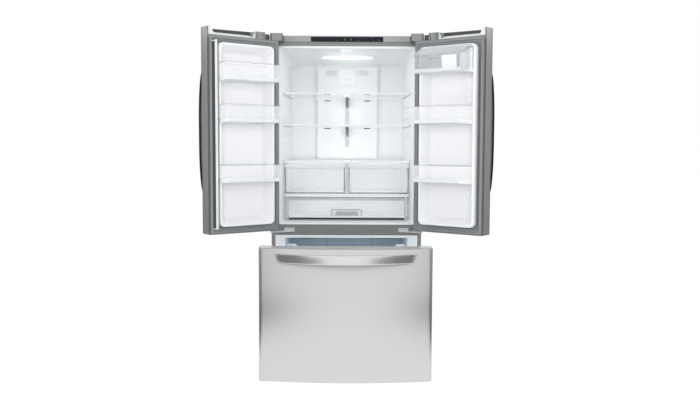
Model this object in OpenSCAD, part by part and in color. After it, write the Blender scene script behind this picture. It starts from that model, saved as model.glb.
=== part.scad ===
// A French door refrigerator: two bowed doors over a freezer drawer.
// X is to the right, Y to the back and Z up. The origin is on the floor, in the middle of the
// width, in the plane of the cabinet's front face. The doors are drawn at their open stops and
// the freezer drawer is drawn pulled out.

/* [Cabinet] */
// Width of the cabinet
body_w = 756; // [720:1:800]
// Depth of the cabinet from its front face to its back
body_d = 670; // [664:1:720]
// Height of the cabinet's underside above the floor
base_z = 46; // [40:1:60]
// Height of the lower edge of the crossbar between the compartments
crossbar_z = 706; // [700:1:712]
// Height of the crossbar
crossbar_h = 54; // [50:1:60]
// Height of the fresh food opening between the crossbar and the header
fridge_h = 889; // [880:1:960]
// Height of the steel header over the upper opening
header_h = 49; // [44:1:54]
// Width of the steel flange on each side of an opening
flange_w = 20; // [16:1:24]
// Thickness of the steel back panel
back_t = 4; // [2:0.5:6]

/* [Compartments] */
// Thickness of the moulded liners
liner_t = 3; // [2:0.5:4]
// Width of the fresh food liner's front lip
lip_w = 24; // [20:1:28]
// Depth of the insulation behind both compartments, with the back panel
back_wall = 80; // [76:1:90]
// Inward lean of each side wall over the depth
side_draft = 17; // [10:1:22]
// Fall of the ceiling over the depth
top_draft = 28; // [20:1:34]
// Width of the lip over the fresh food ceiling
top_lip = 11; // [8:1:14]
// Height of the sill at the fresh food floor
sill_h = 6; // [4:1:8]
// Width of the freezer liner's front lip
freezer_lip_w = 49; // [46:1:54]
// Insulation between the freezer well and the machine compartment
well_gap = 30; // [26:1:36]
// Height of the freezer floor above the floor
freezer_floor = 172; // [166:1:178]

/* [Doors] */
// Opening angle of both doors as drawn
door_open = 143.2; // [0:0.1:145]
// Gap between the closed doors
door_gap = 6; // [4:0.5:8]
// Gap from the cabinet face to the doors' inner faces
deck_gap = 14; // [13:0.5:16]
// Thickness of a door at its hinge edge
door_edge_t = 62; // [60:1:66]
// Extra thickness that the bow gives in the middle of the front
bow = 32; // [26:1:38]
// Radius of the vertical edges of the fronts
edge_r = 18; // [14:1:20]
// Thickness of the stainless skins
skin_t = 2; // [1:0.5:3]
// Width of the plastic edge that stays bare behind the skin
bare_edge = 18; // [14:1:20]
// Distance of the hinge pins from the cabinet's side
pin_in = 12; // [11:0.5:13]
// Distance of the hinge pins from the doors' inner faces
pin_out = 42; // [40:1:44]
// Radius of the hinge pins
pin_r = 6; // [4:0.5:7]
// Height of the raised dyke on the door liners
dyke_h = 40; // [36:1:42]
// Width of the door handles
handle_w = 30; // [24:1:34]
// Length of the door handles
handle_l = 597; // [500:1:640]
// Height of the middle of the door handles above the doors' underside
handle_rise = 480; // [450:1:500]
// Stand-off of the handles' outer faces
handle_out = 62; // [56:1:66]
// Thickness of the handles
handle_t = 12; // [10:0.5:14]

/* [Freezer drawer] */
// Travel of the freezer drawer as drawn
drawer_out = 500; // [0:1:520]
// Height of the drawer front's lower edge
drawer_z0 = 128; // [124:1:136]
// Height of the drawer handle's face
drawer_handle_h = 42; // [36:1:46]
// Length of the drawer handle
drawer_handle_l = 612; // [560:1:640]
// Height of the telescopic slides
slide_h = 44; // [38:1:50]

/* [Shelves and drawers] */
// Distance of the shelves' front edges behind the cabinet face
shelf_y = 140; // [136:1:146]
// Thickness of the shelf frames
shelf_t = 10; // [8:1:12]
// Thickness of the glass
glass_t = 4; // [3:0.5:5]
// Height of the space over the upper shelf
top_space = 208; // [198:1:216]
// Height from the crisper cover to the lower shelf's top
low_space = 189; // [180:1:196]
// Distance of the crispers' fronts behind the cabinet face
crisper_y = 150; // [148:1:156]
// Free depth behind the crispers and the pantry drawer
crisper_gap = 50; // [44:1:70]
// Height from the crispers' support to the top of their cover
crisper_room = 174; // [166:1:180]
// Height of the pantry drawer
pantry_h = 109; // [100:1:112]
// Gap between the pantry drawer and the compartment's walls at its back
pantry_side = 10.4; // [8:0.2:14]
// Wall of the clear bins and drawers
bin_wall = 3; // [2:0.5:3.5]
// Height of the door bins
bin_h = 82; // [76:1:90]
// Reach of the door bins from the door's inner face
bin_reach = 110; // [104:1:112]
// Distance of the upper bin's underside below the top of the dyke
upper_bin_drop = 176; // [160:1:190]
// Height of the middle bins' undersides above the bottom of the dyke
middle_bin_rise = 489; // [440:1:500]
// Height of the lower bins' undersides above the bottom of the dyke
lower_bin_rise = 211; // [180:1:240]
// Distance of the covered dairy bin's underside below the top of the dyke
dairy_drop = 130; // [124:1:140]

/* [Cooling] */
// Height of the machine compartment's roof
machine_top = 290; // [284:1:294]
// Depth of the machine compartment
machine_d = 230; // [220:1:240]
// Radius of the compressor shell
compressor_r = 76; // [70:1:84]
// Radius of the evaporator fan
evap_fan_r = 46; // [40:1:48]
// Radius of the condenser fan
cond_fan_r = 66; // [60:1:70]
// Radius of the fan shafts
shaft_r = 3; // [2.5:0.5:4]
// Radius of the levelling feet
foot_r = 22; // [18:1:26]
// Radius of the rear rollers
roller_r = 20; // [18:1:22]

/* [Clearances] */
// Radial clearance of a pin in its bore
pin_clear = 0.05; // [0.02:0.01:0.1]
// Gap between parts that slide or turn past each other
run_gap = 0.3; // [0.3:0.05:0.6]

/* [Hidden] */
$fn = 48;
cut = 1;                                // how far a cutting solid runs past a face
half_w = body_w / 2;

// Openings and rooms
fridge_z0 = crossbar_z + crossbar_h;
fridge_z1 = fridge_z0 + fridge_h;
body_top = fridge_z1 + header_h;
fridge_depth = body_d - back_wall;
freezer_depth = fridge_depth;
machine_y = body_d - machine_d;
well_depth = machine_y - well_gap;      // depth of the freezer in front of the machine hump
lip_half = half_w - flange_w;
room_half = lip_half - lip_w;
room_floor = fridge_z0 + sill_h;
room_top = fridge_z1 - top_lip;
freezer_half = lip_half - freezer_lip_w;
freezer_top = crossbar_z - 13;
freezer_lip_z0 = freezer_floor - 22;
hump_z = machine_top + 35;
hump_slope = 35;
shell_d = body_d - back_t;
function room_w(y) = room_half - side_draft * y / fridge_depth;
function room_z(y) = room_top - top_draft * y / fridge_depth;

// Fronts: one large arc runs over the doors and the drawer
bow_r = (half_w * half_w + bow * bow) / (2 * bow);
bow_cy = bow_r - deck_gap - door_edge_t - bow;
function face_y(x, inset = 0) = bow_cy - sqrt(pow(bow_r - inset, 2) - x * x);
deck_y = -deck_gap;
door_xa = 1 - half_w;                   // hinge edge of the left door
door_xb = -door_gap / 2;                // its free edge
door_w = door_xb - door_xa;
drawer_z1 = crossbar_z + 9;             // top of the drawer front
arm_z = drawer_z1 + 9;                  // underside of the middle hinge arms
arm_t = 5;
door_z0 = arm_z + arm_t + 9;            // underside of the doors
deck_top = body_top - 34;               // top of the doors' flat inner edge
skin_top = body_top + 6;                // top of the doors' front skins
cap_t = 14;                             // thickness of the cap's base
pin_x = pin_in - half_w;
pin_y = deck_y - pin_out;

// Door liner dyke, measured from the hinge edge and from the door's ends
dyke_u0 = 50;
dyke_u1 = door_w - 41;
dyke_z0 = door_z0 + 36;
dyke_z1 = deck_top - 34;
dyke_rim = 10;                          // width of the rim
dyke_lean = 3;                          // lean of the outer wall
basin_run = 30;                         // width of the sloped inner wall
basin_depth = 10;                       // how far the basin sinks below the inner face
dyke_r = 24;                            // radius of its corners

// Gaskets
gasket_h = deck_gap - run_gap;
gasket_base = 4;
gasket_x0 = door_xa + pin_in + 1;
gasket_x1 = door_xb - 4;
gasket_side = 24;
gasket_free = 12;
gasket_bulb = 13;

// Folding mullion on the left door
mullion_half = 16.5;
mullion_t = 14;
mullion_y = 0.6;
mullion_back = mullion_y + mullion_t;
fold_x = 3.7 - mullion_half;            // pivot, inside the flap's outline
fold_y = mullion_y + 3.4;
fold_r = 2.5;
mullion_z0 = room_floor + 2;
mullion_z1 = room_top - 6;
lug_x1 = gasket_x1 - gasket_free - 0.5; // the lugs rise beside the gasket and reach over it
lug_w = 11;
lug_h = 8;
lug_r = 4;
knuckle_h = 24;
knuckle_z = [mullion_z0 + 60, (mullion_z0 + mullion_z1) / 2, mullion_z1 - 60];

// Shelves and drawers, stacked from the floor and from the ceiling
support_t = 11;
cover_t = 12;
crisper_d = fridge_depth - crisper_y - crisper_gap;
pantry_z0 = room_floor + 14;
pantry_top = pantry_z0 + pantry_h;
pantry_half = room_w(crisper_y + crisper_d) - pantry_side;
rail_z = pantry_top + 5 + support_t;
cover_z = rail_z + crisper_room;
lower_shelf_z = cover_z + low_space;
upper_shelf_z = room_top - top_space;
bin_z = [dyke_z1 - upper_bin_drop, dyke_z0 + middle_bin_rise, dyke_z0 + lower_bin_rise];
dairy_z = dyke_z1 - dairy_drop;
handle_z = door_z0 + handle_rise;

// Air duct, filter and shelf rail
duct_half = 175;
duct_y = fridge_depth - 28;
duct_z0 = cover_z + 3;
duct_z1 = room_z(fridge_depth) - 4;
rail_half = 10.5;
rail_t = 6;
shelf_back = duct_y - rail_t;
filter_half = 54;
filter_z = duct_z1 - 60;
post_half = 7;

// Drawer and slides
slide_l = well_depth - 10;
basket_d = well_depth - 18;
slide_top = freezer_floor + 303;
slide_w = 12;                           // how far a rail stands off the wall
slide_x0 = freezer_half - slide_w - 3;  // inner face of the drawer's slides
ledge_w = 14;                           // ledge on each slide under the basket's flange
basket_z0 = freezer_floor + 13;
basket_top = drawer_z1 - 40;

// Fans
evap_fan_z = freezer_top - 83;
evap_y = freezer_depth - 90;            // front of the evaporator cover
cond_fan_y = (machine_y + shell_d) / 2 - 5;
cond_fan_z = (base_z + machine_top) / 2 - 8;
roller_y = shell_d - 60;
roller_x = half_w - 78;

// ---- helpers -----------------------------------------------------------------------------

// A box between two corners
module span(x0, x1, y0, y1, z0, z1) {
    translate([x0, y0, z0]) cube([x1 - x0, y1 - y0, z1 - z0]);
}

// A (Y, Z) profile carried along X
module along_x(x0, x1) {
    translate([x0, 0, 0]) rotate([90, 0, 90]) linear_extrude(x1 - x0) children();
}

// An (X, Z) profile carried along Y
module along_y(y0, y1) {
    translate([0, y1, 0]) rotate([90, 0, 0]) linear_extrude(y1 - y0) children();
}

// A plan carried up Z
module along_z(z0, z1) {
    translate([0, 0, z0]) linear_extrude(z1 - z0) children();
}

module both_sides() {
    children();
    mirror([1, 0, 0]) children();
}

function arc(cx, cy, r, a0, a1, n) =
    [for (k = [0:n]) [cx + r * cos(a0 + (a1 - a0) * k / n), cy + r * sin(a0 + (a1 - a0) * k / n)]];

function reverse(p) = [for (k = [len(p) - 1:-1:0]) p[k]];

// A rectangle with round corners, as one outline
function round_rect(x0, x1, y0, y1, r, n = 6) = concat(
    arc(x0 + r, y0 + r, r, 180, 270, n), arc(x1 - r, y0 + r, r, 270, 360, n),
    arc(x1 - r, y1 - r, r, 0, 90, n), arc(x0 + r, y1 - r, r, 90, 180, n));

// Outline of a bowed front from xa to xb, drawn in by inset, from the given inner face
function front_outline(xa, xb, y_back, inset = 0) = let (
    r = max(edge_r - inset, 1),
    ca = xa + inset + r,
    cb = xb - inset - r,
    ya = bow_cy - sqrt(pow(bow_r - inset - r, 2) - ca * ca),
    yb = bow_cy - sqrt(pow(bow_r - inset - r, 2) - cb * cb),
    ta = 360 + atan2(ya - bow_cy, ca),
    tb = 360 + atan2(yb - bow_cy, cb),
    n = 14,
    bowed = [for (k = [1:n - 1]) let (t = ta + (tb - ta) * k / n)
        [(bow_r - inset) * cos(t), bow_cy + (bow_r - inset) * sin(t)]])
    concat([[xa + inset, y_back]], arc(ca, ya, r, 180, ta, 5), bowed,
        arc(cb, yb, r, tb, 360, 5), [[xb - inset, y_back]]);

// The sheet that wraps a bowed front
module skin_sheet(xa, xb, z0, z1) {
    back = deck_y - bare_edge;
    along_z(z0, z1) polygon(concat(front_outline(xa, xb, back),
        reverse(front_outline(xa, xb, back, skin_t))));
}

// The insulated body behind the skin, with its bare plastic edge
module front_core(xa, xb, z0, z1) {
    back = deck_y - bare_edge;
    along_z(z0, z1) polygon(concat([[xa, deck_y], [xa, back]],
        front_outline(xa, xb, back, skin_t), [[xb, back], [xb, deck_y]]));
}

// The left door's place at its open stop
module left_swing() {
    translate([pin_x, pin_y, 0]) rotate([0, 0, -door_open]) translate([-pin_x, -pin_y, 0])
        children();
}

module right_swing() {
    mirror([1, 0, 0]) left_swing() children();
}

module drawer_place() {
    translate([0, -drawer_out, 0]) children();
}

// A place given along the door from its hinge edge and out from its inner face
function door_x(u) = door_xa + u;
function door_y(v) = deck_y + v;

// ---- cabinet -----------------------------------------------------------------------------

// The fresh food room, grown by a wall thickness, with drafted walls and ceiling
module fridge_room(grow, y0) {
    y1 = fridge_depth + grow;
    intersection() {
        along_z(room_floor - grow, room_top + grow + cut) polygon([
            [-room_w(y0) - grow, y0], [room_w(y0) + grow, y0],
            [room_w(y1) + grow, y1], [-room_w(y1) - grow, y1]]);
        along_x(-half_w, half_w) polygon([
            [y0, room_floor - grow], [y1, room_floor - grow],
            [y1, room_z(y1) + grow], [y0, room_z(y0) + grow]]);
    }
}

// The freezer room, with the hump over the machine compartment
module freezer_room(grow, y0) {
    along_x(-freezer_half - grow, freezer_half + grow) polygon([
        [y0, freezer_floor - grow], [well_depth + grow, freezer_floor - grow],
        [well_depth + grow, hump_z - hump_slope - grow], [well_depth + hump_slope + grow, hump_z - grow],
        [freezer_depth + grow, hump_z - grow], [freezer_depth + grow, freezer_top + grow],
        [y0, freezer_top + grow]]);
}

// Lugs under the cabinet that carry the rear rollers
module roller_lugs() {
    for (side = [-1, 1], edge = [-1, 1]) difference() {
        translate([side * roller_x + edge * 11.5 - 1.5, roller_y - 16, 10])
            cube([3, 32, base_z - 10]);
        translate([side * roller_x, roller_y, roller_r]) rotate([0, 90, 0])
            cylinder(r = 4 + pin_clear, h = 40, center = true);
    }
}

module case_shell() color([0.44, 0.45, 0.46]) {
    difference() {
        span(-half_w, half_w, 0, shell_d, base_z, body_top);
        fridge_room(liner_t, -cut);
        freezer_room(liner_t, -cut);
        span(-lip_half, lip_half, -cut, liner_t, freezer_lip_z0, fridge_z1);
        span(-half_w + 4, half_w - 4, machine_y, shell_d + cut, base_z + 4, machine_top);
        for (side = [-1, 1]) translate([side * (half_w - 50), 40, base_z - cut])
            cylinder(r = 5 + run_gap, h = 22);
    }
    roller_lugs();
}

module back_panel() color([0.6, 0.61, 0.62]) {
    difference() {
        span(-half_w + 2, half_w - 2, shell_d, body_d, machine_top + 8, body_top - 2);
        // shallow pressed channels stiffen the sheet
        for (x = [138 - half_w:120:half_w - 138])
            translate([x, body_d - back_t / 3, machine_top + 90])
                cube([24, back_t, body_top - machine_top - 180]);
    }
}

module machine_cover() color([0.3, 0.3, 0.31]) {
    z0 = base_z + 6;
    z1 = machine_top + 8;
    gland_x = half_w - 70;
    difference() {
        union() {
            along_y(shell_d, body_d - 1.5)
                polygon(round_rect(-half_w + 2, half_w - 2, z0, z1, 6));
            translate([gland_x, body_d - 2, z0 + 40]) rotate([-90, 0, 0])
                cylinder(r = 12, h = 4);
        }
        for (x = [-half_w + 40:22:half_w - 110], row = [0:2])
            span(x, x + 14, shell_d - cut, body_d + cut, z0 + 44 + row * 52, z0 + 86 + row * 52);
        translate([gland_x, shell_d - cut, z0 + 40]) rotate([-90, 0, 0])
            cylinder(r = 5, h = 20);
    }
}

module fridge_liner() color([0.93, 0.95, 0.96]) {
    ledge_w = 6;
    ledge_h = 7;
    ledge_y1 = duct_y - 10;
    guide_half = 33;
    guide_y = mullion_back + 1.4;
    difference() {
        union() {
            fridge_room(liner_t, 0);
            span(-lip_half, lip_half, 0, liner_t, fridge_z0, fridge_z1);
        }
        fridge_room(0, -cut);
    }
    // moulded ledges that carry the shelves, the crisper cover and the crisper rail
    both_sides()
        for (z = [upper_shelf_z - shelf_t, upper_shelf_z - 66, upper_shelf_z - 121,
                lower_shelf_z - shelf_t, lower_shelf_z - 58, cover_z - cover_t,
                rail_z - support_t])
            along_z(z - ledge_h, z) polygon([
                [room_w(shelf_y) - ledge_w, shelf_y], [room_w(shelf_y) + cut, shelf_y],
                [room_w(ledge_y1) + cut, ledge_y1], [room_w(ledge_y1) - ledge_w, ledge_y1]]);
    // block under the lip that steers the folding mullion
    along_x(-guide_half, guide_half) polygon([
        [guide_y, room_z(guide_y) + cut], [guide_y + 2, room_top - 18],
        [guide_y + 20, room_top - 18], [guide_y + 26, room_z(guide_y) + cut]]);
}

module freezer_liner() color([0.88, 0.91, 0.93]) {
    difference() {
        union() {
            freezer_room(liner_t, 0);
            span(-lip_half, lip_half, 0, liner_t, freezer_lip_z0, crossbar_z);
        }
        freezer_room(0, -cut);
    }
    // small lamp under the ceiling
    translate([0, 40, freezer_top - 5]) cylinder(r = 7, h = 5 + cut);
}

module crossbar() color([0.5, 0.51, 0.52])
    span(-lip_half, lip_half, 0, liner_t, crossbar_z, fridge_z0);

// Header strip over the upper opening, with the pocket for the control panel
panel_half = 179;
trim_half = half_w - 66;
trim_z0 = body_top - 29;
trim_t = 8;
module top_trim() color([0.66, 0.67, 0.68]) {
    difference() {
        along_x(-trim_half, trim_half) polygon([
            [0, trim_z0], [-trim_t + 2, trim_z0], [-trim_t, trim_z0 + 2],
            [-trim_t, body_top - 3], [-trim_t + 3, body_top + 1.5], [26, body_top + 1.5],
            [26, body_top], [0, body_top]]);
        span(-panel_half, panel_half, -trim_t - cut, -trim_t + 3, trim_z0 + 1, body_top - 4);
    }
}

module control_panel() color([0.05, 0.05, 0.06])
    along_y(-trim_t - 1, -trim_t + 3)
        polygon(round_rect(-panel_half, panel_half, trim_z0 + 1, body_top - 4, 1.5, 3));

// ---- hinges ------------------------------------------------------------------------------

cover_wall = 2;                         // wall of the hinge covers
cover_nose = pin_in - 1;                // radius of their noses about the pins
barrel_r = cover_nose - cover_wall - 0.5;

// Steel plate on the cabinet's top whose barrel and pin hang down into the door's cap
module top_hinges() color([0.72, 0.73, 0.74]) both_sides() {
    plate_x0 = 5 - half_w;
    plate_x1 = 60 - half_w;
    along_z(body_top, body_top + 4) polygon(concat(
        arc(pin_x, pin_y, barrel_r - 0.5, 180, 300, 8),
        [[plate_x1, -30], [plate_x1, 58], [plate_x0, 58], [plate_x0, -30]]));
    translate([pin_x, pin_y, deck_top + run_gap])
        cylinder(r = barrel_r, h = body_top - deck_top - run_gap);
    translate([pin_x, pin_y, deck_top - cap_t + 2])
        cylinder(r = pin_r, h = cap_t);
}

// Plastic cover over each top hinge
module hinge_covers() color([0.55, 0.56, 0.57]) both_sides() {
    x0 = pin_x - cover_nose;
    x1 = 64 - half_w;
    top = body_top + 9;
    skirt_z = deck_top + 3;
    wall = cover_wall;
    nose = cover_nose;
    plan = concat(arc(pin_x, pin_y, nose, 180, 270, 8),
        [[x1 - 6, pin_y - nose], [x1, pin_y - nose + 6], [x1, 62], [x0, 62]]);
    hollow = concat(arc(pin_x, pin_y, nose - wall, 180, 270, 8),
        [[x1 - 7, pin_y - nose + wall], [x1 - wall, pin_y - nose + 7], [x1 - wall, 60],
         [x0 + wall, 60]]);
    difference() {
        intersection() {
            along_z(skirt_z, top) polygon(plan);
            along_x(x0 - cut, x1 + cut) polygon([
                [pin_y - nose - cut, skirt_z], [-0.2, skirt_z], [-0.2, body_top],
                [62, body_top], [62, top - 3], [58, top], [pin_y - nose + 4, top],
                [pin_y - nose - cut, top - 5]]);
        }
        along_z(skirt_z - cut, top - wall) polygon(hollow);
    }
}

// Bright brackets on the crossbar whose arms carry the doors' lower pins
module middle_hinges() color([0.82, 0.83, 0.84]) both_sides() {
    plate_x0 = 66 - half_w;
    plate_x1 = 116 - half_w;
    plate_t = 4;
    span(plate_x0, plate_x1, -plate_t, 0, arm_z, door_z0 + 5);
    along_z(arm_z, arm_z + arm_t) polygon(concat(
        arc(pin_x, pin_y, 12, 150, 330, 12),
        [[plate_x1 - 20, -plate_t - 8], [plate_x1, -plate_t], [plate_x1, 0],
         [plate_x0 - 48, 0], [plate_x0 - 62, -26]]));
    translate([pin_x, pin_y, arm_z + arm_t])
        cylinder(r = 11, h = door_z0 - arm_z - arm_t - run_gap);
    translate([pin_x, pin_y, arm_z + arm_t])
        cylinder(r = pin_r, h = door_z0 - arm_z - arm_t + 22);
}

// ---- fresh food interior -----------------------------------------------------------------

vent_z = [upper_shelf_z + 19, upper_shelf_z - 18, lower_shelf_z - 12];
module duct_panel() color([0.9, 0.93, 0.95]) {
    wall = 3;
    chamfer = 8;
    slot_x = 113;
    difference() {
        along_z(duct_z0, duct_z1) polygon([
            [-duct_half, fridge_depth], [-duct_half, duct_y + chamfer],
            [-duct_half + chamfer, duct_y], [duct_half - chamfer, duct_y],
            [duct_half, duct_y + chamfer], [duct_half, fridge_depth]]);
        span(-duct_half + 12, duct_half - 12, duct_y + wall, fridge_depth - 2,
            duct_z0 + 12, duct_z1 - 12);
        for (side = [-1, 1], z = vent_z)
            span(side * slot_x - 17, side * slot_x + 17, duct_y - cut, duct_y + wall + cut,
                z - 3, z + 3);
        // louvres on either side of the filter
        for (side = [-1, 1], row = [0:2])
            span(side * 92 - 30, side * 92 + 30, duct_y - cut, duct_y + wall + cut,
                filter_z + 10 + row * 8, filter_z + 14 + row * 8);
        // air path behind the filter
        span(-40, 40, duct_y - cut, duct_y + wall + cut, filter_z - 42, filter_z + 42);
    }
}

module filter_cover() color([0.95, 0.96, 0.97]) {
    depth = 6;
    groove = 2;
    difference() {
        along_y(duct_y - depth, duct_y) polygon(round_rect(-filter_half, filter_half,
            filter_z - filter_half, filter_z + filter_half, 14));
        difference() {
            along_y(duct_y - depth - cut, duct_y - depth + groove)
                polygon(round_rect(-filter_half + 8, filter_half - 8,
                    filter_z - filter_half + 8, filter_z + filter_half - 8, 10));
            along_y(duct_y - depth - cut, duct_y - depth + groove)
                polygon(round_rect(-filter_half + 10, filter_half - 10,
                    filter_z - filter_half + 10, filter_z + filter_half - 10, 8));
        }
    }
}

module ceiling_light() color([1, 1, 0.98]) {
    y0 = 250;
    y1 = 304;
    drop = 6;
    along_x(-136, 136) polygon([
        [y0, room_z(y0)], [y0 + 5, room_z(y0) - drop], [y1 - 5, room_z(y1) - drop],
        [y1, room_z(y1)]]);
}

slot_x = 5;
rail_z0 = lower_shelf_z - 118;
rail_z1 = upper_shelf_z + 11;
module shelf_rail() color([0.78, 0.8, 0.82]) {
    difference() {
        span(-rail_half, rail_half, shelf_back, duct_y, rail_z0, rail_z1);
        for (side = [-1, 1], z = concat(
                [for (s = [upper_shelf_z, lower_shelf_z]) s - shelf_t - 12],
                [for (s = [upper_shelf_z, lower_shelf_z]) s - shelf_t - 38],
                [upper_shelf_z - 90, upper_shelf_z - 117, lower_shelf_z - 90]))
            span(side * slot_x - 2, side * slot_x + 2, shelf_back - cut, duct_y + cut,
                z - 7, z + 7);
    }
}

// Plan of a half shelf, drawn in by a margin
function half_shelf(y0, y1, middle, clear, m) = [
    [middle + m, y0 + m], [room_w(y0) - clear - m, y0 + m],
    [room_w(y1) - clear - m, y1 - m], [middle + m, y1 - m]];

module shelf_frames() color([0.95, 0.96, 0.97]) {
    rim = 14;
    seat = 8;
    for (top = [upper_shelf_z, lower_shelf_z]) both_sides() {
        difference() {
            along_z(top - shelf_t, top) polygon(half_shelf(shelf_y, shelf_back, 1.5, 2, 0));
            along_z(top - shelf_t - cut, top + cut)
                polygon(half_shelf(shelf_y, shelf_back, 1.5, 2, rim));
            along_z(top - glass_t, top + cut)
                polygon(half_shelf(shelf_y, shelf_back, 1.5, 2, seat));
        }
        // bracket under the frame, with two hooks in the rail's slots
        under = top - shelf_t;
        along_x(slot_x - 1.2, slot_x + 1.2) polygon([
            [shelf_back, under], [shelf_back, under - 52], [shelf_back - 20, under - 50],
            [shelf_back - 200, under - 5], [shelf_back - 200, under]]);
        for (z = [under - 12, under - 38])
            span(slot_x - 1.2, slot_x + 1.2, shelf_back, duct_y - 2, z - 4, z + 5);
    }
}

module shelf_glass() color([0.8, 0.9, 0.9, 0.4])
    for (top = [upper_shelf_z, lower_shelf_z]) both_sides()
        along_z(top - glass_t, top) polygon(half_shelf(shelf_y, shelf_back, 1.5, 2, 8.3));

module crisper_cover_frame() color([0.95, 0.96, 0.97]) {
    difference() {
        along_z(cover_z - cover_t, cover_z) polygon([
            [-room_w(crisper_y) + 3, crisper_y], [room_w(crisper_y) - 3, crisper_y],
            [room_w(shelf_back) - 3, shelf_back], [-room_w(shelf_back) + 3, shelf_back]]);
        both_sides() {
            along_z(cover_z - cover_t - cut, cover_z + cut)
                polygon(half_shelf(crisper_y, shelf_back, 0, 3, 22));
            along_z(cover_z - glass_t, cover_z + cut)
                polygon(half_shelf(crisper_y, shelf_back, 0, 3, 14));
        }
    }
}

module crisper_cover_glass() color([0.8, 0.9, 0.9, 0.4]) both_sides()
    along_z(cover_z - glass_t, cover_z)
        polygon(half_shelf(crisper_y, shelf_back, 0, 3, 14.3));

module crisper_support() color([0.93, 0.94, 0.95]) {
    difference() {
        along_z(rail_z - support_t, rail_z) polygon([
            [-room_w(crisper_y) + 3, crisper_y], [room_w(crisper_y) - 3, crisper_y],
            [room_w(shelf_back) - 3, shelf_back], [-room_w(shelf_back) + 3, shelf_back]]);
        both_sides() along_z(rail_z - support_t - cut, rail_z + cut)
            polygon(half_shelf(crisper_y + 20, shelf_back, 12, 46, 14));
    }
    // posts between the crispers hold up the cover
    for (y = [crisper_y + 1, shelf_back - 16])
        span(-post_half, post_half, y, y + 15, rail_z, cover_z - cover_t);
}

// One crisper on the right of the post
module crisper() {
    z0 = rail_z + 4;
    z1 = cover_z - 19;
    x0 = post_half + 3;
    y1 = crisper_y + crisper_d;
    side = 6.5;
    band_h = 24;
    function outer(m) = [[x0 + m, crisper_y + m], [room_w(crisper_y) - side - m, crisper_y + m],
        [room_w(y1) - side - m, y1 - m], [x0 + m, y1 - m]];
    mid = (x0 + room_w(crisper_y) - side) / 2;
    reach = (room_w(crisper_y) - side - x0) / 2;
    difference() {
        along_z(z0, z1) polygon(outer(0));
        along_z(z0 + bin_wall, z1 + cut) polygon(outer(bin_wall));
    }
    // pull band over the front, with a bowed lower edge
    along_y(crisper_y - 7, crisper_y) polygon(concat(
        [[mid + reach, z1], [mid - reach, z1]],
        [for (k = [0:12]) let (q = k / 6 - 1)
            [mid + q * reach, z1 - band_h + 8 * q * q]]));
    // runners
    for (x = [x0 + 14, room_w(y1) - side - 24])
        span(x, x + 6, crisper_y + 8, y1 - 8, rail_z + run_gap, z0);
}

module crisper_right() color([0.88, 0.94, 0.97, 0.5]) crisper();

module crisper_left() color([0.88, 0.94, 0.97, 0.5]) mirror([1, 0, 0]) crisper();

module pantry_drawer() color([0.88, 0.94, 0.97, 0.5]) {
    y1 = crisper_y + crisper_d;
    front_t = 14;
    pull_half = 79;
    pull_z0 = pantry_z0 + 12;
    pull_h = 31;
    difference() {
        span(-pantry_half, pantry_half, crisper_y, y1, pantry_z0, pantry_top);
        span(-pantry_half + bin_wall, pantry_half - bin_wall, crisper_y + front_t,
            y1 - bin_wall, pantry_z0 + bin_wall, pantry_top + cut);
        // arched finger recess in the front
        along_y(crisper_y - cut, crisper_y + front_t - 4) polygon(concat(
            [[-pull_half, pull_z0], [pull_half, pull_z0]],
            [for (k = [0:10]) let (q = 1 - k / 5)
                [pull_half * q, pull_z0 + pull_h - 10 * q * q]]));
    }
    // runners on the compartment's floor
    for (side = [-1, 1])
        translate([side * (pantry_half - 16) - 3, crisper_y + 30, room_floor + run_gap])
            cube([6, crisper_d - 40, pantry_z0 - room_floor - run_gap]);
}

// ---- freezer interior --------------------------------------------------------------------

rail_y0 = 20;
// Fixed C-shaped members of the telescopic slides
module freezer_rails() color([0.75, 0.76, 0.77]) both_sides() {
    x1 = freezer_half;
    x0 = x1 - slide_w;
    z0 = slide_top - slide_h;
    along_y(rail_y0, rail_y0 + slide_l) polygon([
        [x0, z0], [x1, z0], [x1, slide_top], [x0, slide_top], [x0, slide_top - 2],
        [x1 - 2, slide_top - 2], [x1 - 2, z0 + 2], [x0, z0 + 2]]);
}

// Sliding middle members, which travel half as far as the drawer
module slide_members() color([0.8, 0.81, 0.82])
    translate([0, -drawer_out / 2, 0]) both_sides() {
        x1 = freezer_half - 2 - run_gap;
        x0 = x1 - slide_w + 4;
        z0 = slide_top - slide_h + 2 + run_gap;
        z1 = slide_top - 2 - run_gap;
        along_y(rail_y0, rail_y0 + slide_l) polygon([
            [x0, z0], [x1, z0], [x1, z1], [x0, z1], [x0, z1 - 2], [x1 - 2, z1 - 2],
            [x1 - 2, z0 + 2], [x0, z0 + 2]]);
    }

// Inner members, fixed to the drawer front, with the ledge that carries the basket
module drawer_slides() color([0.78, 0.79, 0.8]) drawer_place() both_sides() {
    x1 = freezer_half - 4 - 2 * run_gap;
    x0 = slide_x0;
    z0 = slide_top - slide_h + 4 + 2 * run_gap;
    z1 = slide_top - 4 - 2 * run_gap;
    span(x0, x1, deck_y, rail_y0 + slide_l, z0, z1);
    span(x0 - ledge_w, x0, deck_y, basket_d, z0, z0 + 3);
}

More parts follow.
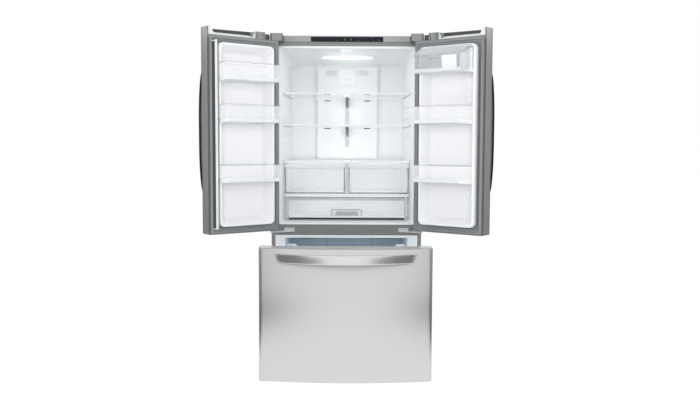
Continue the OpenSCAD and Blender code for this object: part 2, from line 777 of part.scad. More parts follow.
module evaporator_cover() color([0.42, 0.48, 0.53]) {
    t = 4;
    boss_r = 20;
    seam_x = 125;
    difference() {
        union() {
            difference() {
                span(-freezer_half, freezer_half, evap_y, evap_y + t, hump_z, freezer_top);
                translate([0, evap_y - cut, evap_fan_z]) rotate([-90, 0, 0])
                    cylinder(r = evap_fan_r + 4, h = t + 2 * cut);
            }
            translate([0, evap_y, evap_fan_z]) rotate([-90, 0, 0])
                cylinder(r = boss_r, h = 20);
            for (a = [90, 210, 330]) translate([0, evap_y, evap_fan_z]) rotate([0, a, 0])
                translate([0, 0, -3]) cube([evap_fan_r + 8, t, 6]);
        }
        for (side = [-1, 1])
            span(side * seam_x - 1, side * seam_x + 1, evap_y - cut, evap_y + 1.5,
                hump_z - cut, freezer_top + cut);
        for (side = [-1, 1], row = [0:3])
            span(side * 210 - 50, side * 210 + 50, evap_y - cut, evap_y + t + cut,
                freezer_top - 62 + row * 12, freezer_top - 56 + row * 12);
        for (x = [-90:20:90])
            span(x - 5, x + 5, evap_y - cut, evap_y + t + cut, hump_z + 14, hump_z + 34);
        translate([0, evap_y + 6, evap_fan_z]) rotate([-90, 0, 0])
            cylinder(r = shaft_r + pin_clear, h = 30);
    }
}

// A block of flat fins with tubes through them, along X
module fin_block(x0, x1, y0, y1, z0, z1, fins, rows, cols, tube_r) {
    pitch = (x1 - x0) / (fins - 1);
    for (k = [0:fins - 1])
        span(x0 + k * pitch - 0.8, x0 + k * pitch + 0.8, y0, y1, z0, z1);
    for (r = [0:rows - 1], c = [0:cols - 1])
        translate([x0 - 10, y0 + (y1 - y0) * (c + 0.5) / cols, z0 + (z1 - z0) * (r + 0.5) / rows])
            rotate([0, 90, 0]) cylinder(r = tube_r, h = x1 - x0 + 20);
}

module evaporator() color([0.8, 0.82, 0.83]) {
    z0 = hump_z + 20;
    z1 = evap_fan_z - evap_fan_r - 24;
    back = freezer_depth;
    fin_block(-220, 220, evap_y + 16, back - 8, z0, z1, 15, 4, 1, 4);
    for (side = [-1, 1])
        span(side * 230 - 1.5, side * 230 + 1.5, evap_y + 4, back, hump_z, z1 + 6);
}

// A fan wheel about the origin, along Z: hub, tilted blades and shaft
module fan_wheel(r, hub_r, depth, blades, tail) {
    cylinder(r = hub_r, h = depth);
    for (k = [0:blades - 1]) rotate([0, 0, k * 360 / blades])
        intersection() {
            translate([hub_r - 2, 0, depth / 2]) rotate([32, 0, 0])
                translate([0, -depth, -0.8]) cube([r - hub_r + 2, 2 * depth, 1.6]);
            cylinder(r = r, h = depth);
        }
    translate([0, 0, -tail]) cylinder(r = shaft_r, h = tail + 1);
}

module evaporator_fan() color([0.2, 0.2, 0.21])
    translate([0, evap_y + 20 + run_gap, evap_fan_z]) rotate([-90, 0, 0])
        fan_wheel(evap_fan_r, 13, 20, 5, 12);

// ---- machine compartment -----------------------------------------------------------------

module compressor() color([0.09, 0.09, 0.1]) {
    cx = -half_w / 2 - 10;
    cy = (machine_y + shell_d) / 2;
    floor_z = base_z + 4;
    h = 180;
    foot = 84;
    translate([cx, cy, 0]) {
        translate([0, 0, floor_z + 12]) rotate_extrude($fn = 64) polygon(concat(
            [[0, 0]], arc(compressor_r - 26, 26, 26, 270, 360, 6),
            arc(compressor_r - 46, h - 46, 46, 0, 90, 8), [[0, h]]));
        difference() {
            span(-foot, foot, -foot, foot, floor_z + 8, floor_z + 12);
            translate([0, 0, floor_z + 7]) cylinder(r = 30, h = 6);
        }
        for (sx = [-1, 1], sy = [-1, 1]) translate([sx * (foot - 14), sy * (foot - 14), floor_z])
            cylinder(r = 11, h = 8);
        translate([0, -compressor_r + 4, floor_z + 100]) rotate([90, 0, 0])
            cylinder(r = 4, h = 16);
        span(compressor_r - 6, compressor_r + 20, -26, 26, floor_z + 60, floor_z + 118);
    }
}

cond_x = 40;
module condenser() color([0.16, 0.16, 0.17]) {
    floor_z = base_z + 4;
    y0 = machine_y + 14;
    y1 = shell_d - 14;
    boss_l = 26;
    fin_block(cond_x + 60, cond_x + 270, y0 + 10, y1 - 10, floor_z + 20, machine_top - 26,
        12, 4, 3, 4);
    // end plates stand on the floor
    for (x = [cond_x + 50, cond_x + 280]) span(x - 1.5, x + 1.5, y0, y1, floor_z, machine_top - 16);
    // fan shroud with the motor in its middle
    difference() {
        union() {
            difference() {
                span(cond_x, cond_x + 4, y0, y1, floor_z, machine_top - 8);
                translate([cond_x - cut, cond_fan_y, cond_fan_z]) rotate([0, 90, 0])
                    cylinder(r = cond_fan_r + 5, h = 4 + 2 * cut);
            }
            span(cond_x, cond_x + 4, cond_fan_y - 6, cond_fan_y + 6, floor_z, machine_top - 8);
            translate([cond_x, cond_fan_y, cond_fan_z]) rotate([0, 90, 0])
                cylinder(r = 18, h = boss_l);
        }
        translate([cond_x - cut, cond_fan_y, cond_fan_z]) rotate([0, 90, 0])
            cylinder(r = shaft_r + pin_clear, h = boss_l - 4);
    }
}

module condenser_fan() color([0.2, 0.2, 0.21])
    translate([cond_x - run_gap, cond_fan_y, cond_fan_z]) rotate([0, -90, 0])
        fan_wheel(cond_fan_r, 15, 22, 5, 18);

module base_grille() color([0.35, 0.36, 0.37]) {
    t = 8;
    z0 = base_z + 4;
    z1 = drawer_z0 - 8;
    difference() {
        along_y(-t, 0) polygon(round_rect(-half_w + 6, half_w - 6, z0, z1, 4));
        for (x = [-half_w + 40:30:half_w - 60], row = [0:1])
            span(x, x + 22, -t - cut, -t + 5, z0 + 14 + row * 24, z0 + 26 + row * 24);
    }
}

module front_feet() color([0.15, 0.15, 0.16]) both_sides()
    translate([half_w - 50, 40, 0]) {
        cylinder(r1 = foot_r, r2 = foot_r - 4, h = 10);
        translate([0, 0, 10]) cylinder(r = 5, h = base_z + 8);
        translate([0, 0, base_z - 8]) cylinder(r = 10, h = 8, $fn = 6);
    }

module rear_rollers() color([0.15, 0.15, 0.16]) both_sides()
    translate([roller_x, roller_y, roller_r]) rotate([0, 90, 0]) {
        cylinder(r = roller_r, h = 18, center = true, $fn = 64);
        cylinder(r = 4, h = 30, center = true);
    }

// ---- doors -------------------------------------------------------------------------------

lip_u0 = 38;                            // where the raised front lip starts
boss_u0 = 67;
boss_u1 = 131;
scoop_u1 = door_w - 29;

// Cuts the raised front lip away at the hinge end, and steps it down next to it
module lip_steps(grow) {
    low = deck_top + 20;
    span(door_xa - cut, door_x(lip_u0), -300, deck_y + cut, deck_top, skin_top + cut);
    span(door_xa - cut, door_x(boss_u0 - grow), -300, deck_y + cut, low, skin_top + cut);
}

module door_skin() color([0.72, 0.72, 0.72])
    difference() {
        skin_sheet(door_xa, door_xb, door_z0, skin_top);
        lip_steps(0);
    }

// Insulated body of a door, with the bore for the lower hinge pin
module door_core() {
    pocket = 4;
    difference() {
        front_core(door_xa, door_xb, door_z0, deck_top - cap_t);
        translate([pin_x, pin_y, door_z0 - cut]) cylinder(r = pin_r + pin_clear, h = 26);
        // pocket for the liner's sunken basin
        along_y(deck_y - basin_depth - liner_t, deck_y + cut) polygon(round_rect(
            door_x(dyke_u0 + pocket), door_x(dyke_u1 - pocket), dyke_z0 + pocket,
            dyke_z1 - pocket, dyke_r - pocket));
    }
}

module left_frame() color([0.52, 0.53, 0.54]) left_swing() {
    reach = knuckle_h / 2 + run_gap + lug_h;
    door_core();
    // fixed lugs and pins of the folding mullion
    for (z = knuckle_z) {
        for (edge = [z - reach, z + reach - lug_h])
            along_z(edge, edge + lug_h) polygon(concat(
                [[lug_x1 - lug_w, deck_y - cut], [lug_x1, deck_y - cut],
                 [lug_x1, fold_y - lug_r]],
                arc(fold_x, fold_y, lug_r, 270, 450, 8),
                [[lug_x1 - lug_w + 6, fold_y + lug_r], [lug_x1 - lug_w, fold_y - 2]]));
        translate([fold_x, fold_y, z - reach]) cylinder(r = fold_r, h = 2 * reach);
    }
}

module right_frame() color([0.52, 0.53, 0.54]) right_swing() door_core();

// Moulded cap on a door's top: a scooped floor between a boss and a corner piece
module door_cap() color([0.6, 0.61, 0.62]) {
    lip_t = 10;
    z0 = deck_top - cap_t;
    lip_z = skin_top - 2;
    floor_z = deck_top + 20;
    back = deck_y - bare_edge;
    lip_back = face_y(door_x(boss_u1), skin_t + lip_t);
    difference() {
        union() {
            front_core(door_xa, door_xb, z0, deck_top);
            // raised lip behind the skin
            along_z(deck_top, lip_z) polygon(concat(
                front_outline(door_xa, door_xb, back, skin_t),
                reverse(front_outline(door_xa, door_xb, back, skin_t + lip_t))));
            // raised pieces, kept inside the skin
            intersection() {
                along_z(deck_top - cut, lip_z)
                    polygon(front_outline(door_xa, door_xb, deck_y, skin_t));
                union() {
                    // sloped floor of the scoop
                    along_x(door_x(boss_u1 - 16), door_x(scoop_u1 + 16)) polygon([
                        [deck_y, deck_top - cut], [lip_back - 18, deck_top - cut],
                        [lip_back - 18, floor_z], [lip_back, floor_z], [deck_y, deck_top]]);
                    // boss beside the hinge and piece at the free corner, with slanted ends
                    along_y(lip_back - 2, deck_y - 12) polygon([
                        [door_x(boss_u0), deck_top - cut], [door_x(boss_u0), lip_z - 6],
                        [door_x(boss_u0 + 5), lip_z - 2], [door_x(boss_u1 - 12), lip_z - 2],
                        [door_x(boss_u1), floor_z - 12], [door_x(boss_u1), deck_top - cut]]);
                    along_y(face_y(door_xb, skin_t + lip_t) - 2, deck_y - 8) polygon([
                        [door_x(scoop_u1), deck_top - cut], [door_x(scoop_u1), floor_z - 12],
                        [door_x(scoop_u1 + 14), lip_z], [door_xb - skin_t, lip_z],
                        [door_xb - skin_t, deck_top - cut]]);
                }
            }
        }
        lip_steps(0);
        translate([pin_x, pin_y, z0 - cut]) cylinder(r = pin_r + pin_clear, h = cap_t + 2 * cut);
    }
}

// A slab of the dyke's outline between two heights, drawn in by two margins
module dyke_block(v0, v1, m0, m1, r0, r1) {
    thin = 0.02;
    hull() {
        for (e = [[v0, m0, r0], [v1 - thin, m1, r1]])
            along_y(door_y(e[0]), door_y(e[0]) + thin) polygon(round_rect(
                door_x(dyke_u0 + e[1]), door_x(dyke_u1 - e[1]), dyke_z0 + e[1],
                dyke_z1 - e[1], e[2], 4));
    }
}

// Thermoformed liner: a sunken basin inside a raised dyke, with lugs under the bins
module door_liner(bins) color([0.96, 0.96, 0.98]) {
    inner = dyke_lean + dyke_rim;
    lug_v = 34;
    over = 0.1;
    difference() {
        union() {
            dyke_block(0, dyke_h, 0, dyke_lean, dyke_r, dyke_r - 2);
            along_y(door_y(-basin_depth - liner_t), door_y(0)) polygon(round_rect(
                door_x(dyke_u0 + 4), door_x(dyke_u1 - 4), dyke_z0 + 4, dyke_z1 - 4, dyke_r - 4));
        }
        dyke_block(-basin_depth, dyke_h + over, inner + basin_run,
            inner - over * basin_run / (dyke_h + basin_depth), 8, dyke_r - 8);
    }
    for (z = bins, u = [dyke_u0 + 62, dyke_u1 - 82])
        span(door_x(u), door_x(u + 20), door_y(-basin_depth - 1), door_y(lug_v), z - 8, z);
}

// Seal round the door: a flat base with a round-backed bulb near its outer edge
module door_gasket() color([0.5, 0.51, 0.52]) {
    z0 = door_z0 + 6;
    z1 = deck_top - 6;
    wide = gasket_side;
    difference() {
        union() {
            along_y(deck_y, deck_y + gasket_base)
                polygon(round_rect(gasket_x0, gasket_x1, z0, z1, 4, 3));
            along_y(deck_y + gasket_base, deck_y + gasket_h)
                polygon(round_rect(gasket_x0 + 1, gasket_x1 - 1, z0 + 1, z1 - 1, 4, 3));
        }
        span(gasket_x0 + wide, gasket_x1 - gasket_free, deck_y - cut, cut, z0 + wide, z1 - wide);
        span(gasket_x0 + gasket_bulb, gasket_x1 - gasket_free, deck_y + gasket_base, cut,
            z0 + gasket_bulb, z1 - gasket_bulb);
    }
}

// Cross-section of a handle: a band with round edges, as offsets along its width and stand-off
function band(w, t) = round_rect(-w / 2, w / 2, 0, t, t / 3, 3);

// Stand-off of a handle's inner face: zero on its end pads, and bowed between them
function bowed_gap(q) = let (reach = 0.93) max(0, 1 - pow(q / reach, 2));

// Joins rings of equal length into a closed skin
module tube_of_rings(rings) {
    n = len(rings[0]);
    m = len(rings);
    points = [for (r = rings) for (p = r) p];
    sides = [for (i = [0:m - 2], j = [0:n - 1])
        [i * n + j, i * n + (j + 1) % n, (i + 1) * n + (j + 1) % n, (i + 1) * n + j]];
    tris = [for (f = sides) each [[f[0], f[1], f[2]], [f[0], f[2], f[3]]]];
    caps = concat(
        [for (j = [1:n - 2]) [0, j + 1, j]],
        [for (j = [1:n - 2]) [(m - 1) * n, (m - 1) * n + j, (m - 1) * n + j + 1]]);
    polyhedron(points, concat(tris, caps), convexity = 6);
}

handle_x = door_xb - edge_r - 2 - handle_w / 2;
module door_handle() color([0.75, 0.75, 0.75]) {
    steps = 28;
    ring = band(handle_w, handle_t);
    rise = handle_out - handle_t;
    tube_of_rings([for (k = [0:steps]) let (q = 2 * k / steps - 1)
        [for (p = ring) let (x = handle_x + p[0])
            [x, face_y(x) - 0.2 - p[1] - rise * bowed_gap(q), handle_z + q * handle_l / 2]]]);
}

module drawer_handle() color([0.75, 0.75, 0.75]) drawer_place() {
    steps = 28;
    slant = 6;
    ring = band(drawer_handle_h, handle_t);
    rise = handle_out - handle_t - 0.2;
    centre_z = drawer_z1 - 43;
    tube_of_rings([for (k = [0:steps]) let (q = 1 - 2 * k / steps)
        [for (p = ring) let (x = q * (drawer_handle_l / 2 + slant * p[0] / drawer_handle_h))
            [x, face_y(x) - 0.2 - p[1] - rise * bowed_gap(q), centre_z + p[0]]]]);
}

// Plan of a door bin's outline, drawn in by a margin
function bin_plan(m) = let (
    u0 = dyke_u0 + dyke_lean + dyke_rim + run_gap,
    u1 = dyke_u1 - dyke_lean - dyke_rim - run_gap,
    wide0 = u0 - 1, wide1 = dyke_u1 - 2, v_back = 8, v_rim = dyke_h + run_gap,
    slope = (v_rim - v_back) * basin_run / (dyke_h + basin_depth), r = 14)
    concat(
        [[door_x(u0 + m), door_y(v_rim)], [door_x(u0 + slope + m), door_y(v_back + m)],
         [door_x(u1 - slope - m), door_y(v_back + m)], [door_x(u1 - m), door_y(v_rim + m)],
         [door_x(wide1 - m), door_y(v_rim + m)]],
        arc(door_x(wide1 - r), door_y(bin_reach - r), r - m, 0, 90, 4),
        arc(door_x(wide0 + r), door_y(bin_reach - r), r - m, 90, 180, 4),
        [[door_x(wide0 + m), door_y(v_rim)]]);

// A bin with a leaning front; inside the dyke its edge may step down and fall to the door
module door_bin(z0, front_h, back_h, back_step = 0, back_fall = 0) {
    lean = 6;
    step_y = door_y(dyke_h + run_gap);
    module body(m, floor) intersection() {
        over = m > 0 ? cut : 0;
        along_z(z0 + floor, z0 + back_h + cut) polygon(bin_plan(m));
        along_x(door_xa, door_xb) polygon(concat(
            [[door_y(0), z0 + floor], [door_y(bin_reach - lean - m), z0 + floor],
             [door_y(bin_reach - m), z0 + front_h + over], [step_y, z0 + back_h + over]],
            back_step > 0 ? [[step_y, z0 + back_h - back_step + over]] : [],
            [[door_y(0), z0 + back_h - back_step - back_fall + over]]));
    }
    difference() {
        body(0, 0);
        body(bin_wall, bin_wall);
    }
}

dairy_front_h = 78;
dairy_back_h = 114;
lid_v = dyke_h;                         // the lid's pivot line, out from the inner face
lid_z = dairy_z + dairy_back_h + 7;
lid_pin_r = 2.5;
lid_u0 = dyke_u0 + dyke_lean + dyke_rim;
lid_u1 = dyke_u1 - 2;

// Covered bin: ears at its back corners carry the lid's pins
module right_dairy_bin() color([0.9, 0.93, 0.95, 0.6]) right_swing() {
    door_bin(dairy_z, dairy_front_h, dairy_back_h, dyke_r - 8,
        dyke_h * basin_run / (dyke_h + basin_depth) + 2);
    difference() {
        for (u = [lid_u0, lid_u1 - bin_wall])
            span(door_x(u), door_x(u + bin_wall), door_y(lid_v + 1), door_y(lid_v + 12),
                lid_z - 14, lid_z + 5);
        translate([door_x(lid_u0 - 5), door_y(lid_v + 6), lid_z]) rotate([0, 90, 0])
            cylinder(r = lid_pin_r + pin_clear, h = lid_u1 - lid_u0 + 10);
    }
}

module dairy_lid() {
    x0 = door_x(lid_u0 + bin_wall + 0.5);
    x1 = door_x(lid_u1 - bin_wall - 0.5);
    v0 = lid_v + 6;
    v1 = bin_reach + 2;
    z0 = lid_z;
    z1 = lid_z - (v1 - v0) * (dairy_back_h - dairy_front_h) / (bin_reach - dyke_h);
    color([0.92, 0.95, 0.97, 0.5]) right_swing() {
        along_x(x0, x1) polygon([
            [door_y(v0), z0], [door_y(v1), z1], [door_y(v1 + 2), z1 - 3],
            [door_y(v1 + 2), z1 - 12], [door_y(v1 + 4), z1 - 12],
            [door_y(v1 + 4), z1 + 1], [door_y(v1), z1 + 3], [door_y(v0), z0 + 3]]);
        translate([door_x(lid_u0), door_y(v0), lid_z]) rotate([0, 90, 0])
            cylinder(r = lid_pin_r, h = lid_u1 - lid_u0);
    }
}

// Folding mullion, drawn folded against the dyke as it is when the door is open
module mullion_flap() color([0.3, 0.31, 0.32]) left_swing()
    translate([fold_x, fold_y, 0]) rotate([0, 0, 90]) translate([-fold_x, -fold_y, 0])
    difference() {
        union() {
            // bar with a groove along its inner face and a chamfer at its pivot corner
            along_z(mullion_z0, mullion_z1) polygon([
                [2 - mullion_half, mullion_y], [mullion_half, mullion_y],
                [mullion_half, mullion_back - 3], [mullion_half - 3, mullion_back],
                [6, mullion_back], [6, mullion_back - 2],
                [-6, mullion_back - 2], [-6, mullion_back],
                [3 - mullion_half, mullion_back], [-mullion_half, mullion_back - 3],
                [-mullion_half, mullion_y + 2]]);
            // nub on its top, which meets the guide block
            along_z(mullion_z1, mullion_z1 + 4) polygon(round_rect(mullion_half - 15,
                mullion_half - 1, mullion_back - 9, mullion_back - 1, 3, 4));
        }
        for (z = knuckle_z) {
            // room for the lugs on either side of each knuckle
            for (edge = [z - knuckle_h / 2 - lug_h - 2 * run_gap, z + knuckle_h / 2])
                span(-mullion_half - cut, fold_x + lug_r + 0.5, mullion_y - cut,
                    mullion_back + cut, edge, edge + lug_h + 2 * run_gap);
            translate([fold_x, fold_y, z - knuckle_h / 2 - cut])
                cylinder(r = fold_r + pin_clear, h = knuckle_h + 2 * cut);
        }
    }

module left_skin() left_swing() door_skin();

module left_cap() left_swing() door_cap();

module left_liner() left_swing() door_liner(bin_z);

module left_gasket() left_swing() door_gasket();

module left_handle() left_swing() door_handle();

module left_upper_bin() color([0.88, 0.94, 0.97, 0.5]) left_swing()
    door_bin(bin_z[0], bin_h, bin_h);

module left_middle_bin() color([0.88, 0.94, 0.97, 0.5]) left_swing()
    door_bin(bin_z[1], bin_h, bin_h);

module left_lower_bin() color([0.88, 0.94, 0.97, 0.5]) left_swing()
    door_bin(bin_z[2], bin_h, bin_h);

module right_skin() right_swing() door_skin();

module right_cap() right_swing() door_cap();

module right_liner() right_swing() door_liner([dairy_z, bin_z[1], bin_z[2]]);

module right_gasket() right_swing() door_gasket();

module right_handle() right_swing() door_handle();

module right_middle_bin() color([0.88, 0.94, 0.97, 0.5]) right_swing()
    door_bin(bin_z[1], bin_h, bin_h);

module right_lower_bin() color([0.88, 0.94, 0.97, 0.5]) right_swing()
    door_bin(bin_z[2], bin_h, bin_h);

// ---- freezer drawer ----------------------------------------------------------------------

top_cap_t = 4;
module drawer_skin() color([0.78, 0.78, 0.77]) drawer_place()
    skin_sheet(-half_w, half_w, drawer_z0, drawer_z1 - top_cap_t);

module drawer_panel() color([0.75, 0.78, 0.8]) drawer_place() {
    pad = 12;
    pad_half = slide_x0 - ledge_w - 1;
    front_core(-half_w, half_w, drawer_z0, drawer_z1 - top_cap_t);
    along_z(drawer_z1 - top_cap_t, drawer_z1)
        polygon(front_outline(-half_w, half_w, deck_y, 1));
    along_y(deck_y, deck_y + pad) polygon(round_rect(-pad_half, pad_half,
        freezer_floor + 10, freezer_top - 12, 16));
}

module drawer_gasket() color([0.5, 0.51, 0.52]) drawer_place() {
    x1 = half_w - 15;
    z0 = drawer_z0 + 10;
    z1 = crossbar_z + 3;
    wide = gasket_side;
    difference() {
        union() {
            along_y(deck_y, deck_y + gasket_base) polygon(round_rect(-x1, x1, z0, z1, 4, 3));
            along_y(deck_y + gasket_base, deck_y + gasket_h)
                polygon(round_rect(1 - x1, x1 - 1, z0 + 1, z1 - 1, 4, 3));
        }
        span(wide - x1, x1 - wide, deck_y - cut, cut, z0 + wide, z1 - wide);
        span(gasket_bulb - x1, x1 - gasket_bulb, deck_y + gasket_base, cut,
            z0 + gasket_bulb, z1 - gasket_bulb);
    }
}

// Deep basket with drafted walls, whose ends dip between raised corners
module freezer_basket() {
    top_half = freezer_half - slide_w - 14;
    low_half = top_half - 20;
    y0 = 2;
    dip = 44;
    ledge_z = slide_top - slide_h + 7 + 2 * run_gap;
    function half_at(z) =
        low_half + (top_half - low_half) * (z - basket_z0) / (basket_top - basket_z0);
    module well(m, z0, z1) along_y(y0 + m, basket_d - m) polygon([
        [-half_at(z0) + m, z0], [half_at(z0) - m, z0],
        [half_at(z1) - m, z1], [m - half_at(z1), z1]]);
    color([0.9, 0.93, 0.95]) drawer_place() difference() {
        union() {
            well(0, basket_z0, basket_top);
            // flanges that rest on the slides' ledges
            both_sides() span(half_at(ledge_z) - 1, slide_x0 - run_gap,
                y0, basket_d, ledge_z, ledge_z + 3);
        }
        well(bin_wall, basket_z0 + bin_wall, basket_top + cut);
        // the dip in the front and back walls
        along_y(y0 - cut, basket_d + cut) polygon([
            [-top_half + 70, basket_top - dip], [top_half - 70, basket_top - dip],
            [top_half - 34, basket_top + cut], [34 - top_half, basket_top + cut]]);
    }
}

// ---- assembly ----------------------------------------------------------------------------

case_shell();
back_panel();
machine_cover();
fridge_liner();
freezer_liner();
crossbar();
top_trim();
control_panel();
top_hinges();
hinge_covers();
middle_hinges();
duct_panel();
filter_cover();
ceiling_light();
shelf_rail();
shelf_frames();
shelf_glass();
crisper_cover_frame();
crisper_cover_glass();
crisper_support();
freezer_rails();
evaporator_cover();
evaporator();
compressor();
condenser();
base_grille();
front_feet();
left_skin();
left_frame();
left_cap();
left_liner();
left_gasket();
left_handle();
left_upper_bin();
left_middle_bin();
left_lower_bin();
mullion_flap();
right_skin();
right_frame();
right_cap();
right_liner();
right_gasket();
right_handle();
right_dairy_bin();
right_middle_bin();
right_lower_bin();
dairy_lid();
drawer_skin();
drawer_panel();
drawer_gasket();
drawer_handle();
drawer_slides();
slide_members();
freezer_basket();
crisper_left();
crisper_right();
pantry_drawer();
evaporator_fan();
condenser_fan();
rear_rollers();
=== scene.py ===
"""Studio scene of a French door refrigerator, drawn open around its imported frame.

Units are metres; +X is to the right, +Y to the back, +Z up, and the origin lies on the
floor in the plane of the cabinet's front face. Surfaces are worked out in millimetres.
"""
import math

import bmesh
import bpy
import numpy as np
from mathutils import Matrix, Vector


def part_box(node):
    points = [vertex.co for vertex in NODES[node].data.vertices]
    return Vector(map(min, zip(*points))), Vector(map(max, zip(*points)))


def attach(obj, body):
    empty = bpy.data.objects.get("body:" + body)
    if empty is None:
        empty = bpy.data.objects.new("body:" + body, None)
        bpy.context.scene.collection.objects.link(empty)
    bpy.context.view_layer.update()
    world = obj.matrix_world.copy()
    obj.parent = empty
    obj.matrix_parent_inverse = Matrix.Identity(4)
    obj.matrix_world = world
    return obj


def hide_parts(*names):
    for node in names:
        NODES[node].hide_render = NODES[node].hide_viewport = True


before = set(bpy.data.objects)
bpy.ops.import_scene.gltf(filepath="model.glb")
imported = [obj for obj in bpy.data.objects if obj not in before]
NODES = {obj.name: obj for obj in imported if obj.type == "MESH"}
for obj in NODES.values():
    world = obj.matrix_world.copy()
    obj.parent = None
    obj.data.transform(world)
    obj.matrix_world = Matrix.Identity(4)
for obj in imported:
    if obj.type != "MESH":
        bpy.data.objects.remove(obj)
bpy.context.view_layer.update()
WHITE = (1.0, 1.0, 1.0)


# ---- shader expressions ------------------------------------------------------------------

class Wire:
    """A node output that takes part in sums: each operator adds one Math node."""

    def __init__(self, tree, socket):
        self.tree = tree
        self.socket = socket

    def math(self, operation, *values, clamp=False):
        """One Math node with this wire as its first value."""
        node = self.tree.nodes.new("ShaderNodeMath")
        node.operation = operation
        node.use_clamp = clamp
        for socket, value in zip(node.inputs, (self,) + values):
            plug(self.tree, socket, value)
        return Wire(self.tree, node.outputs[0])

    def __add__(self, other):
        return self.math("ADD", other)

    __radd__ = __add__

    def __sub__(self, other):
        return self.math("SUBTRACT", other)

    def __rsub__(self, other):
        return (self * -1.0) + other

    def __mul__(self, other):
        return self.math("MULTIPLY", other)

    __rmul__ = __mul__

    def above(self, edge, soft):
        """0 below edge, 1 above edge + soft, straight between them."""
        return ((self - edge) * (1.0 / soft)).math("ADD", 0.0, clamp=True)


def plug(tree, socket, value):
    """Links a wire to a socket, or sets the socket to a plain value."""
    if isinstance(value, Wire):
        tree.links.new(value.socket, socket)
    elif isinstance(value, tuple) and len(value) == 3 and socket.type == "RGBA":
        socket.default_value = value + (1.0,)
    else:
        socket.default_value = value


class Shader:
    """A node tree being built."""

    def __init__(self, tree):
        self.tree = tree
        tree.nodes.clear()

    def node(self, kind, out=0, setup=None, at=None, **sockets):
        """Adds ShaderNode<kind>: setup holds its settings, `at` its sockets by number and
        the rest its sockets by name."""
        node = self.tree.nodes.new("ShaderNode" + kind)
        for key, value in (setup or {}).items():
            setattr(node, key, value)
        for key, value in (at or {}).items():
            plug(self.tree, node.inputs[key], value)
        for key, value in sockets.items():
            plug(self.tree, node.inputs[key.replace("_", " ")], value)
        return Wire(self.tree, node.outputs[out]) if node.outputs else None

    def blend(self, factor, low, high):
        """Mixes two colours."""
        return self.node("Mix", 2, {"data_type": "RGBA"}, {0: factor, 6: low, 7: high})

    def mix(self, factor, low, high):
        """Mixes two surfaces."""
        return self.node("MixShader", at={0: factor, 1: low, 2: high})

    def white_rays(self):
        """1 for the rays that meet the white backdrop: camera, gloss and clear sheet."""
        camera, gloss, clear_sheet = (self.node("LightPath", "Is %s Ray" % kind)
                                      for kind in ("Camera", "Glossy", "Transmission"))
        return camera.math("MAXIMUM", gloss).math("MAXIMUM", clear_sheet)


class Finish(Shader):
    """One material being built from its nodes."""

    def __init__(self, name):
        self.material = bpy.data.materials.new(name)
        self.material.use_nodes = True
        super().__init__(self.material.node_tree)
        self.place = self.node("TexCoord", "Object")

    def along(self, axis):
        """The object coordinate along X, Y or Z."""
        return self.node("SeparateXYZ", axis, Vector=self.place)

    def noise(self, scale, stretch=(1.0, 1.0, 1.0), detail=1.0, rough=0.5):
        """Cloudy noise of `scale` lumps a metre, stretched along the axes; about 0 to 1."""
        spot = self.node("Mapping", Vector=self.place, Scale=stretch)
        return self.node("TexNoise", Vector=spot, Scale=scale, Detail=detail, Roughness=rough)

    def bump(self, height, distance, strength=0.4):
        """A normal that follows the height, whose full swing is `distance` metres."""
        return self.node("Bump", Height=height, Distance=distance, Strength=strength)

    def close(self, surface):
        """Ends the material with this surface and returns it."""
        self.node("OutputMaterial", Surface=surface)
        return self.material

    def shade(self, **sockets):
        """Ends the material with one Principled surface and returns it."""
        return self.close(self.node("BsdfPrincipled", **sockets))


def toned(tone, share):
    """The colour with its channels scaled by share."""
    return tuple(min(1.0, c * share) for c in tone)


def brushed_steel(name, tone, rough, along, depth=0.00002, contrast=0.08):
    """Fine parallel scratches: noise drawn out along the rolling direction; where the surface
    turns away from the eye its colour darkens to 0.3 of the tone, a painted shade.
    """
    f = Finish(name)
    fine = f.noise(1.0, along, 3.0, 0.6)
    broad = f.noise(1.0, tuple(a / 14.0 for a in along))
    streak = fine * 0.88 + broad * 0.12
    # painted shade: the colour darkens where the surface turns away from the eye
    turned = f.node("LayerWeight", "Facing", Blend=0.5)
    worn = f.blend(streak.above(0.3, 0.4), toned(tone, 1.0 - contrast),
                   toned(tone, 1.0 + contrast))
    return f.shade(Base_Color=f.blend(turned.above(0.64, 0.3), worn, toned(tone, 0.3)),
                   Metallic=1.0, Roughness=rough + (streak - 0.5) * 0.1,
                   Normal=f.bump(fine, depth))


def rimmed_steel(name, tone, along, shaded=False, metal=1.0):
    """Satin bar steel whose colour darkens where it turns away, a painted shade in the place of
    the dark reflection on a round bar's flanks; `shaded` also paints shade on a door bar's free
    side."""
    f = Finish(name)
    fine = f.noise(1.0, along, 3.0, 0.6)
    # painted shade: the colour darkens where the bar turns away from the eye
    rim = f.node("LayerWeight", "Facing", Blend=0.4).above(0.42, 0.25)
    if shaded:
        # painted shade on the door bar's free side, faded out on faces turned towards +Y
        outward = f.node("SeparateXYZ", "Y", Vector=f.node("TexCoord", "Normal"))
        across = f.along("X").math("ABSOLUTE") * 0.8007 + f.along("Y") * -0.599
        rim = rim.math("MAXIMUM", across.above(0.6615, 0.003)
                       * (1.0 - outward.above(0.45, 0.2)))
    streaked = f.blend(fine, toned(tone, 0.95), tone)
    return f.shade(Base_Color=f.blend(rim, streaked, toned(tone, 0.06)), Metallic=metal,
                   Roughness=fine * 0.08 + 0.22, Normal=f.bump(fine, 0.00001))


def moulded(name, tone, rough=0.35, coat=0.0, grain=0.0, scale=900.0, **more):
    """Moulded plastic: a faint drift of tone, and a leather grain where one is asked for."""
    f = Finish(name)
    drift = f.noise(3.0)
    fields = dict(Base_Color=f.blend(drift, toned(tone, 0.97), tone),
                  Roughness=rough + (drift - 0.5) * 0.06, Coat_Weight=coat)
    if grain:
        fields["Normal"] = f.bump(f.noise(scale), grain, 0.5)
    fields.update(more)
    return f.shade(**fields)


